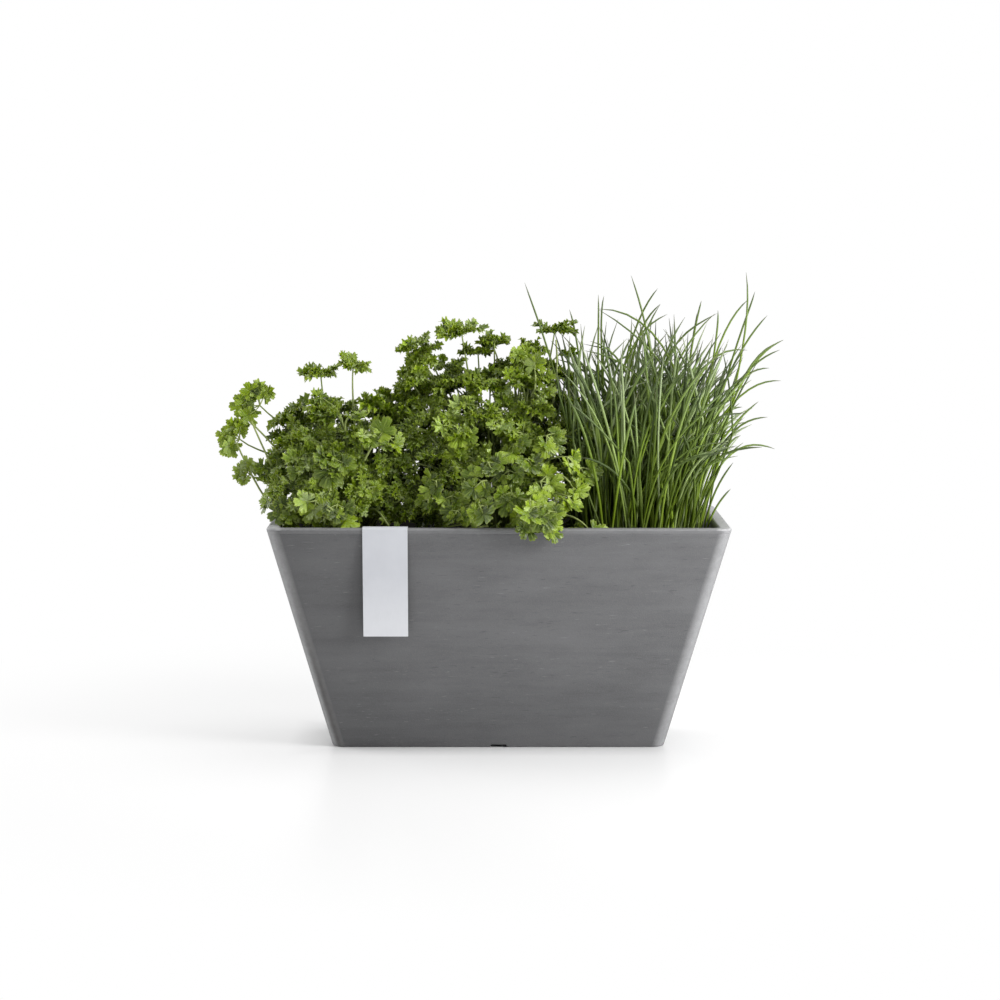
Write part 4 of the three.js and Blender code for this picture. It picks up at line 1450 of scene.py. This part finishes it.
ARCH_LEAF_RADIUS = 16

# How each kind of leaf is built. A leaflet's side, its place along its stalk and its length are shares of the
# reach, and the turns are those of a fan's stalks, in degrees.
SPRIG = {
    "shapes": CURLY_SHAPES, "stalk": 0.56, "roll": 0.5,
    "leaflets": ((0, 1.0, 0.42), (-1, 0.9, 0.36), (1, 0.9, 0.36), (-1, 0.5, 0.30), (1, 0.5, 0.30)),
}
FERN = {
    "shapes": CURLY_SHAPES, "stalk": 0.62, "roll": 0.45, "turns": (-84, -50, -17, 17, 50, 84),
    "faces_up": 0.7, "hangs": 0.1, "wobble": 0.30,
    "leaflets": (
        (0, 1.0, 0.40), (-1, 0.92, 0.34), (1, 0.92, 0.34), (-1, 0.62, 0.30), (1, 0.62, 0.30), (-1, 0.3, 0.26),
        (1, 0.3, 0.26),
    ),
}
OPEN = {
    **FERN, "shapes": (0, 3, 4), "roll": 0.3, "wobble": 0.16, "hangs": 0.6,
    "leaflets": ((0, 1.0, 0.46), (-1, 0.9, 0.40), (1, 0.9, 0.40), (-1, 0.5, 0.34), (1, 0.5, 0.34)),
}
SPRIG_FAN = {
    **SPRIG, "leaflets": SPRIG["leaflets"][:3], "turns": (-60, 0, 60),
    "faces_up": 1.0, "hangs": 0.0, "wobble": 0.4,
}
BROAD = {
    "shapes": BROAD_SHAPES, "stalk": 0.42, "roll": 0.35, "turns": (-64, 0, 64), "faces_up": 0.35,
    "hangs": -0.6, "wobble": 0.22,
    "leaflets": ((0, 1.0, 0.62), (-1, 0.85, 0.44), (1, 0.85, 0.44)),
}
FERN_SHARE = 0.5  # of the curly leaves; the rest are umbrella-shaped
DOME_SHELLS = (0.55, 0.92, 0.92)  # shares of the dome's reach; one spray in three grows on the inner shell
DOME_LOWEST = -0.25  # where the lowest spray of a dome grows and how far the others rise above it, as shares
DOME_RISE = 1.15
DOME_RADII = (0.85, 1.1)
LOW_DOWN = 170  # under this height, and this far from the middle, the sprays of a dome are broad leaves
FAR_OUT = 25
LOWEST_SPRAY = 160  # height of the lowest sprays that are not set one by one
LOW_LEAVES = 44
LOW_LEAF_DEPTHS = (-54, 54)
LOW_LEAF_HEIGHTS = (141, 160)
LOW_LEAF_RADIUS = 10
# Painted shade on the small low leaves that fill the bed.
LOW_LEAF_PAINTED_SHADE = -0.25

# Tints go from 0 for the darkest leaf to 1 for the palest.
USUAL_TINT = 0.59
DARKER_HIGH_UP = 0.08
# Painted shade for leaves deep inside, low in front and in the gap between the plants.
PAINTED_SHADE_DEEP_INSIDE = 0.85
PAINTED_SHADE_LOW_IN_FRONT = 0.22
PAINTED_SHADE_IN_GAP = 0.34
HIGH_UP = (150, 260)  # from which height to which they darken
FRONT_DEPTHS = (-50, -80)  # from which Y to which leaves in front darken, and from which height to which
FRONT_HEIGHTS = (190, 150)
GAP_HEIGHTS = (226, 190)
PLANT_GAP = -54  # X of the gap between the two plants
GAP_REACH = 28
GAP_PEAK = 1.3  # over 1, so that the darkest band has a width
SPRAY_TINTS = 0.12  # how much the sprays differ, and how much the leaflets of one spray
LEAFLET_TINTS = 0.19
PAINTED_SHEEN_SHARE = 0.36  # of the broad leaves, which get a painted whitish sheen
PAINTED_SHEEN_TINT = 0.27
BROAD_TINT = -0.19
OPEN_TINT = 0.1

left_parsley = {  # sprays are X, Y, Z and radius
    "crown": top_of("parsley_left_rootball"),
    "heart": Vector((-108, 12, 168)),
    "limits": (-192, -52),
    "bed": (-140, -84),
    "open": [(-166, 0, 229, 19), (-178, -6, 206, 16), (-168, -14, 183, 12)],
    "umbel": [(-119, 4, 249, 16), (-96, -4, 255, 13)],
    "curly": [
        (-140, 6, 222, 17), (-118, -10, 225, 18), (-80, 0, 229, 18), (-74, 4, 220, 16),
        (-138, -20, 203, 17), (-115, -18, 205, 18), (-92, -22, 205, 17), (-70, -12, 212, 16),
        (-84, -40, 178, 15), (-68, -34, 186, 15), (-146, -42, 172, 15), (-116, -50, 176, 15),
        (-129, -52, 166, 15), (-100, -46, 192, 15), (-131, -36, 188, 16), (-76, -44, 163, 12),
        (-90, -48, 166, 13), (-108, -56, 160, 12), (-136, -50, 158, 12), (-62, -40, 170, 13),
        (-74, -20, 172, 15), (-66, -42, 158, 12), (-74, -34, 157, 12), (-64, -16, 208, 15),
        (-66, 8, 232, 15), (-68, -20, 190, 15), (-68, 8, 172, 16), (-64, 34, 170, 16), (-84, 44, 168, 16),
        (-150, -20, 186, 15),
    ],
    "broad": [
        (-92, -40, 218, 13), (-84, -44, 206, 12), (-68, -42, 201, 13), (-108, -52, 186, 19),
        (-142, -52, 158, 14), (-121, -60, 160, 16), (-104, -64, 158, 14), (-152, -34, 163, 14),
        (-82, -50, 170, 12), (-128, -44, 176, 14),
    ],
    "stalks": [  # bare stalks that show: three places along each
        ((-136, -30, 146), (-154, -22, 156), (-174, -9, 200)),
        ((-132, -12, 178), (-150, -8, 200), (-170, -4, 218)),
        ((-142, -16, 168), (-152, -16, 188), (-164, -8, 214)),
        ((-104, -34, 150), (-117, -66, 169), (-107, -72, 162)),
        ((-102, -34, 148), (-116, -66, 165), (-109, -72, 161)),
    ],
    "arches": [  # where a bare pale stalk comes into view, and where it ends in a leaf
        ((-124, -62, 165), (-106, -62, 157)), ((-122, -64, 160), (-108, -62, 154)),
        ((-92, -40, 186), (-80, -44, 204)), ((-82, -46, 164), (-72, -52, 150)),
        ((-140, -24, 166), (-128, -36, 158)),
    ],
    "dome": {"centre": Vector((-106, 8, 180)), "reach": Vector((48, 50, 50)), "sprays": 42, "radius": 15},
    "behind": [(-144, 14, 166, 13)],
}

middle_parsley = {
    "crown": top_of("parsley_middle_rootball"),
    "heart": Vector((2, 12, 178)),
    "limits": (-74, 68),
    "bed": (-50, 52),
    "open": [(-54, 2, 252, 15), (20, -4, 258, 14)],
    "umbel": [(-58, 4, 268, 14), (-26, 0, 278, 17), (-3, 4, 271, 13), (38, 0, 279, 16)],
    "curly": [
        (-60, 0, 253, 14), (-48, 4, 264, 12), (-62, 2, 230, 15), (-44, 2, 242, 16), (-70, -4, 222, 15),
        (-30, 8, 252, 14), (-56, -8, 240, 15), (-14, 6, 263, 13), (8, 4, 253, 14), (26, 6, 262, 13),
        (-60, -5, 243, 14), (-58, -2, 228, 15), (-39, 10, 244, 15), (1, 0, 246, 16), (16, 5, 257, 14),
        (-32, -10, 246, 16), (-6, -15, 244, 16), (21, -12, 248, 17), (41, 10, 250, 17),
        (-49, -20, 226, 17), (-22, -30, 222, 17), (4, -30, 227, 17), (30, -28, 228, 16),
        (52, -6, 228, 16), (-48, -35, 197, 17), (-19, -45, 195, 16), (-34, -38, 210, 16),
        (-60, -28, 208, 15), (-60, -30, 186, 14), (16, -40, 212, 15), (-36, -48, 182, 15),
        (44, -20, 212, 15), (-57, -48, 157, 12), (-52, -40, 154, 12), (-64, -8, 214, 15),
        (-62, 12, 240, 15), (-38, -44, 156, 12), (-56, -36, 168, 13), (-50, 10, 170, 16),
        (-34, 40, 168, 16), (-44, -46, 164, 13), (-20, -52, 166, 13), (12, -54, 172, 14),
        (40, -40, 168, 14), (50, 20, 180, 16), (30, 40, 168, 16), (-66, 22, 196, 15), (-45, 24, 184, 15),
        (-46, 30, 168, 14), (36, 18, 190, 15), (16, 22, 176, 15),
    ],
    "broad": [
        (10, -52, 197, 16), (36, -48, 203, 16), (62, -32, 205, 17), (56, -44, 180, 16), (8, -60, 180, 15),
        (-44, -56, 174, 14), (-16, -62, 175, 15), (7, -68, 166, 15), (33, -62, 178, 15),
        (26, -84, 159, 18), (36, -80, 148, 13), (-9, -80, 160, 14), (-47, -60, 162, 12),
        (-30, -60, 164, 13), (48, -58, 190, 14), (20, -64, 189, 14), (-4, -64, 187, 13),
        (-30, -66, 156, 12), (16, -74, 156, 13), (48, -66, 166, 13), (-18, -70, 158, 12),
        (-26, -44, 206, 13), (2, -40, 214, 13), (-6, 12, 262, 13), (46, 2, 258, 13), (24, -78, 168, 13),
        (32, -82, 156, 14), (20, -82, 152, 12),
    ],
    "stalks": [
        ((36, -6, 226), (40, -8, 246), (38, -2, 268)),
        ((-10, -48, 156), (-18, -52, 172), (-26, -50, 186)),
    ],
    "arches": [
        ((-10, -46, 166), (-24, -42, 188)), ((24, -26, 226), (24, -22, 246)),
        ((34, -50, 190), (46, -56, 178)), ((46, -48, 158), (56, -54, 150)),
        ((-46, -50, 152), (-34, -56, 162)),
    ],
    "dome": {"centre": Vector((2, 8, 186)), "reach": Vector((60, 54, 70)), "sprays": 45, "radius": 16},
    "behind": [(-53, 30, 188, 14), (-50, 4, 184, 11)],
}


# %% Leaves and stems
class Leaves(Guide):
    """Points that say how the leaflet there is turned and sized, which shape it is, and its tint."""

    def __init__(self):
        super().__init__({"turn": "QUATERNION", "size": "FLOAT_VECTOR", "shape": "INT", "tint": "FLOAT"})

    def add(self, foot, along, up, length, shape, tint, width=1.0):
        along = along.normalized()
        side = along.cross(up).normalized()
        turn = Matrix((side, along, side.cross(along))).transposed().to_quaternion()
        size = [length * MM * width, length * MM, length * MM]
        self.points.append(foot)
        self.say(turn=list(turn), size=size, shape=[shape], tint=[tint])


class Growth:
    """What one plant has grown so far. Its curly leaflets are kept in three lots: the umbrella-shaped sprays
    and the fans set one by one, which show in the picture, and all those that fill in around them."""

    def __init__(self, plan):
        self.plan = plan
        self.dice = random.Random(PARSLEY_SEED)
        self.lots = {name: Leaves() for name in ("curls", "umbels", "curls_around", "leaves")}
        self.lines = Lines()
        self.filling_in = False

    def leaves_of(self, kind):
        if kind is BROAD:
            return self.lots["leaves"]
        if self.filling_in:
            return self.lots["curls_around"]
        return self.lots["umbels" if kind is SPRIG else "curls"]

    def jitter(self, amount):
        return Vector([self.dice.gauss(0, amount) for _ in range(3)])


def share_of_way(value, start, end):
    """0 up to the start, 1 from the end on, and even between them."""
    return clamped((value - start) / (end - start))


def place_tint(plan, place):
    """Leaves deep inside a plant, low in front and in the gap between the plants are darkened with painted
    shade; leaves high up are a darker green.
    """
    dome = plan["dome"]
    out = place - dome["centre"]
    depth = 1 - clamped(Vector([out[i] / dome["reach"][i] for i in range(3)]).length)
    low_in_front = share_of_way(place.y, *FRONT_DEPTHS) * share_of_way(place.z, *FRONT_HEIGHTS)
    near_gap = clamped(GAP_PEAK - abs(place.x - PLANT_GAP) / GAP_REACH)
    in_gap = near_gap * share_of_way(place.z, *GAP_HEIGHTS)
    high_up = share_of_way(place.z, *HIGH_UP)
    # Painted shade deep inside, low in front and in the gap; high up the green is darker.
    darker = DARKER_HIGH_UP * high_up + PAINTED_SHADE_DEEP_INSIDE * depth
    return USUAL_TINT - darker - PAINTED_SHADE_LOW_IN_FRONT * low_in_front - PAINTED_SHADE_IN_GAP * in_gap


def tapered(radius, foot_share, tip_share, steps):
    """A stem's radius at each of its points."""
    return [radius * (foot_share - (foot_share - tip_share) * i / steps) for i in range(steps + 1)]


def stem_to(growth, tip, arrival):
    """A stem from the crown that rises first, leans out to its spray and arrives in the spray's direction."""
    crown = growth.plan["crown"]
    lean = (tip - crown) * Vector((1, 1, 0))
    foot = crown + lean.normalized() * min(STEM_FOOT_OUT, lean.length)
    rise = tip.z - foot.z
    bend = foot.lerp(tip, STEM_BEND_PLACE) + growth.jitter(STEM_BEND_JITTER)
    bend.z = foot.z + STEM_BEND_RISE * rise + STEM_BEND_LEAN * lean.length
    before = tip - (arrival + (tip - foot).normalized()) * STEM_ARRIVAL * (tip - foot).length
    girths = tapered(STEM_RADIUS, 1.3, 0.6, STEM_STEPS)
    growth.lines.add(bent([foot, bend, before, tip], STEM_STEPS), girths, growth.dice.random())


def stalk_to(growth, fork, foot):
    """A short thin stalk from a fork to a leaflet's foot."""
    middle = fork.lerp(foot, 0.5) + growth.jitter(STALK_JITTER * (foot - fork).length)
    girths = [STALK_RADIUS * share for share in STALK_GIRTHS]
    growth.lines.add(bent([fork, middle, foot], len(girths) - 1), girths, growth.dice.random())


def frond(growth, fork, along, up, reach, kind, shade):
    """One rib of a spray: a stalk, a leaflet at its end and others beside it."""
    dice = growth.dice
    leaves = growth.leaves_of(kind)
    along = along.normalized()
    side = along.cross(up).normalized()
    end = fork + along * reach * kind["stalk"]
    stalk_to(growth, fork, end)
    for turn, foot_share, length_share in kind["leaflets"]:
        angle = turn * math.radians(dice.uniform(*PAIR_TURNS))
        direction = along * math.cos(angle) + side * math.sin(angle) + growth.jitter(LEAFLET_JITTER)
        foot = fork.lerp(end, foot_share) + direction * reach * LEAFLET_OFF_STALK
        length = reach * length_share * dice.uniform(*LEAFLET_LENGTHS)
        rolled = side * dice.gauss(0, kind["roll"])
        leaf_up = up + rolled + along * dice.gauss(0, LEAFLET_NOD * kind["roll"])
        tint = clamped(place_tint(growth.plan, foot) + shade + dice.gauss(0, LEAFLET_TINTS))
        shape = dice.choice(kind["shapes"])
        leaves.add(foot, direction, leaf_up, length, shape, tint, dice.uniform(*LEAFLET_WIDTHS))


def umbel(growth, centre, radius, shade):
    """Fronds that spread from their fork like the ribs of an umbrella, up and outwards."""
    dice = growth.dice
    outwards = (centre - growth.plan["heart"]).normalized()
    facing = outwards + Vector((0, 0, UMBEL_LOOKS_UP)) + growth.jitter(UMBEL_JITTER)
    facing.normalize()
    side = facing.cross(Vector((0, 0, 1)))
    side = side.normalized() if side.length > 0.2 else Vector((1, 0, 0))
    across = facing.cross(side).normalized()
    fork = centre - facing * radius * UMBEL_FORK
    stem_to(growth, fork, facing)
    for i in range(UMBEL_RIBS):
        share = math.sqrt((i + 0.3) / UMBEL_RIBS)
        turn = i * GOLDEN_ANGLE + dice.uniform(-UMBEL_RIB_JITTER, UMBEL_RIB_JITTER)
        out = side * math.cos(turn) + across * math.sin(turn)
        spread = math.radians(UMBEL_SPREAD[0] + (UMBEL_SPREAD[1] - UMBEL_SPREAD[0]) * share)
        along = out * math.sin(spread) + facing * math.cos(spread)
        up = facing * (math.sin(spread) + UMBEL_LEAVES_UP) - out * math.cos(spread)
        frond(growth, fork, along, up, radius * dice.uniform(*UMBEL_REACH), SPRIG, shade)


def fan(growth, centre, radius, kind, shade):
    """Fronds in one plane that faces outwards, or the viewer for an open leaf."""
    outwards = (centre - growth.plan["heart"]).normalized()
    wobble = kind["wobble"]
    facing = Vector((0, -1, 0.1)) if kind is OPEN else outwards + Vector((0, 0, kind["faces_up"]))
    normal = (facing + growth.jitter(wobble)).normalized()
    reaching = Vector((outwards.x, 0.3 * outwards.y, kind["hangs"])) + growth.jitter(FAN_JITTER)
    along = (reaching - normal * reaching.dot(normal)).normalized()
    fork = centre - along * radius * FAN_FORK
    stem_to(growth, fork, along)
    for turn in kind["turns"]:
        share = 1.0 - FAN_SIDES_SHORTER * abs(turn) / 90
        turned = Quaternion(normal, math.radians(turn + growth.dice.gauss(0, FAN_TURN_JITTER))) @ along
        lifted = turned + normal * growth.dice.gauss(FAN_LIFT, wobble)
        frond(growth, fork, lifted, normal, radius * share, kind, shade)


def spray(growth, kind_name, centre, radius):
    """A spray of the named kind; a curly one is an umbel or a fan."""
    dice = growth.dice
    shade = dice.gauss(0, SPRAY_TINTS)
    if kind_name == "curly":
        kind_name = "fern" if dice.random() < FERN_SHARE else "umbel"
    if kind_name == "broad":
        # Some broad leaves get a painted whitish sheen.
        pale = PAINTED_SHEEN_TINT if dice.random() < PAINTED_SHEEN_SHARE else 0.0
        fan(growth, centre, radius, BROAD, pale + shade + BROAD_TINT)
    elif kind_name == "umbel":
        umbel(growth, centre, radius, shade)
    elif kind_name == "open":
        fan(growth, centre, radius, OPEN, shade + OPEN_TINT)
    else:
        fan(growth, centre, 1.15 * radius, FERN, shade)


def arch(growth, start, tip):
    """A bare pale stalk that bends over, with one broad leaf at its end."""
    crown = growth.plan["crown"]
    knee = start.lerp(crown, ARCH_KNEE) + Vector((0, 0, ARCH_KNEE_RISE))
    points = bent([crown, knee, start, start.lerp(tip, 0.5), tip], ARCH_STEPS)
    growth.lines.add(points, tapered(STEM_RADIUS, 1.2, 0.8, ARCH_STEPS), 1.0)
    frond(growth, tip, tip - start, Vector((0, -1, 0.5)), ARCH_LEAF_RADIUS, BROAD, ARCH_LEAF_SHADE)


def bare_stalk(growth, places):
    points = bent([Vector(place) for place in places], STEM_STEPS)
    growth.lines.add(points, tapered(STEM_RADIUS, 1.1, 0.7, STEM_STEPS), 0.9)


def undergrowth(growth):
    """Small leaves on short stems that fill the bed round the crown, darkened with painted shade."""
    dice = growth.dice
    low_x, high_x = growth.plan["bed"]
    for _ in range(LOW_LEAVES):
        x = dice.uniform(low_x, high_x)
        place = Vector((x, dice.uniform(*LOW_LEAF_DEPTHS), dice.uniform(*LOW_LEAF_HEIGHTS)))
        fan(growth, place, LOW_LEAF_RADIUS, dice.choice((SPRIG_FAN, BROAD)), LOW_LEAF_PAINTED_SHADE)


def dome_places(dome):
    """Places spread over two shells of a dome by the golden angle."""
    places = []
    for i in range(dome["sprays"]):
        up = DOME_LOWEST + DOME_RISE * ((i + 0.5) / dome["sprays"])
        out = math.sqrt(max(1 - up * up, 0))
        turn = i * GOLDEN_ANGLE
        unit = Vector((out * math.cos(turn), out * math.sin(turn), up)) * DOME_SHELLS[i % 3]
        places.append(dome["centre"] + unit * dome["reach"])
    return places


def parsley(plan):
    """Everything that one plant grows."""
    growth = Growth(plan)
    low_x, high_x = plan["limits"]
    for kind_name in ("open", "umbel", "curly", "broad"):
        for *place, radius in plan[kind_name]:
            spray(growth, kind_name, Vector(place), radius)
    for start, tip in plan["arches"]:
        arch(growth, Vector(start), Vector(tip))
    for places in plan["stalks"]:
        bare_stalk(growth, places)
    growth.filling_in = True
    for place in dome_places(plan["dome"]):
        radius = plan["dome"]["radius"] * growth.dice.uniform(*DOME_RADII)
        place.x = clamped(place.x, low_x + radius, high_x - radius)
        place.z = max(place.z, LOWEST_SPRAY)
        low_outside = place.z < LOW_DOWN and abs(place.y) > FAR_OUT
        spray(growth, "broad" if low_outside else "curly", place, radius)
    undergrowth(growth)
    for *place, radius in plan["behind"]:
        spray(growth, "curly", Vector(place), radius)
    return growth


# %% [markdown]
# # Parsley colours
# Each leaflet's tint picks its green, from nearly black, which is painted shade deep inside a plant, to a
# whitish green, which is a painted sheen on some broad blades. Pale veins spread over the blade from the
# leaflet's foot, first one for each lobe and then finer ones for its teeth, and the thin edge is paler with a
# painted highlight. Light passes through the blade a little, which a share of subsurface scattering gives.
# Stems are paler and yellower than the blades.


# %% Leaf and stem materials
# From nearly black painted shade through the greens to the whitish green of a painted sheen.
BLADE_TINTS = [
    (0.0, (0.024, 0.044, 0.001)), (0.3, (0.110, 0.180, 0.002)), (0.6, (0.255, 0.365, 0.003)),
    (0.85, (0.370, 0.505, 0.085)), (1.0, (0.500, 0.620, 0.260)),
]
BLADE_SPOT = (0.068, 0.118, 0.003)
# The colour of the pale veins and of the painted highlight on the edge.
VEIN_AND_HIGHLIGHT_COLOUR = (0.48, 0.60, 0.12)
VEIN_STRENGTH = 0.27
EDGE_HIGHLIGHT_STRENGTH = 0.34
FINE_VEINS = 4  # to each main vein
BLADE_RELIEF = 0.25
STEM_TINTS = [(0.0, (0.20, 0.27, 0.05)), (1.0, (0.46, 0.54, 0.19))]
STEM_GRAIN = (0.28, 0.35, 0.09)
STEM_GRAIN_SCALES = (700, 700, 80)
STEM_RELIEF = 0.1


def vein_lines(tree, angle, spacing, sharpness):
    """1 on straight lines that leave the leaflet's foot at even turns, and 0 between them."""
    phase = maths(tree, "MULTIPLY", angle, math.pi / spacing)
    ridge = maths(tree, "ABSOLUTE", maths(tree, "COSINE", phase))
    return maths(tree, "POWER", ridge, sharpness)


def veins(tree):
    """Main veins along the lobes, and weaker ones towards the teeth."""
    flat = put(tree, "ShaderNodeAttribute", attribute_name="flat").outputs["Vector"]
    axes = put(tree, "ShaderNodeSeparateXYZ", {0: flat}).outputs
    angle = maths(tree, "ARCTAN2", axes["X"], axes["Y"])
    main = vein_lines(tree, angle, LOBE_SPACING, 40)
    fine = vein_lines(tree, angle, LOBE_SPACING / FINE_VEINS, 8)
    return maths(tree, "MAXIMUM", main, maths(tree, "MULTIPLY", fine, 0.45))


def leaf_blade():
    material, tree, surface = plain_material("parsley_blade", 0.34)
    surface.inputs["Subsurface Weight"].default_value = 0.18
    surface.inputs["Subsurface Radius"].default_value = (0.6, 0.8, 0.1)
    surface.inputs["Subsurface Scale"].default_value = 0.0015
    spots = noise(tree, 260, 3.0)
    green = ramp(tree, attribute(tree, "tint"), BLADE_TINTS)
    mottled = mixed(tree, between(tree, spots, 0.0, 0.40), green, BLADE_SPOT)
    lines = veins(tree)
    # The thin edge gets a painted highlight; the veins are paler.
    edge = maths(tree, "POWER", attribute(tree, "edge"), 3.0)
    pale = maths(tree, "MAXIMUM", maths(tree, "MULTIPLY", lines, VEIN_STRENGTH),
                 maths(tree, "MULTIPLY", edge, EDGE_HIGHLIGHT_STRENGTH))
    relief = summed(tree, noise(tree, 700, 2.0), lines, -0.8)
    colour = mixed(tree, pale, mottled, VEIN_AND_HIGHLIGHT_COLOUR)
    cover(tree, surface, colour, between(tree, spots, 0.20, 0.40), relief, BLADE_RELIEF)
    return material


def stem_skin():
    material, tree, surface = plain_material("parsley_stem", 0.35)
    young = ramp(tree, attribute(tree, "tint"), STEM_TINTS)
    grain = noise(tree, STEM_GRAIN_SCALES, 3.0, 0.5)
    colour = mixed(tree, between(tree, grain, 0.0, 0.5), young, STEM_GRAIN)
    cover(tree, surface, colour, between(tree, grain, 0.40, 0.60), grain, STEM_RELIEF)
    return material


# %% Grow the parsley
leaf_tools = {"Shapes": leaf_shelf, "Material": leaf_blade()}
stem_tools = {"Sides": 5, "Material": stem_skin()}
for side_name, plan in (("left", left_parsley), ("middle", middle_parsley)):
    growth = parsley(plan)
    pieces = {
        lot: grown(leaves.piece("leaf_points"), set_shapes, leaf_tools, f"{side_name}_parsley_{lot}")
        for lot, leaves in growth.lots.items()
    }
    stem_lines = growth.lines.piece("stem_lines")
    pieces["stems"] = grown(stem_lines, sweep, stem_tools, f"{side_name}_parsley_stems")
    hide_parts(f"parsley_{side_name}")
    for piece in pieces.values():
        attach(piece, "trough")
clear_shelf(leaf_shelf)
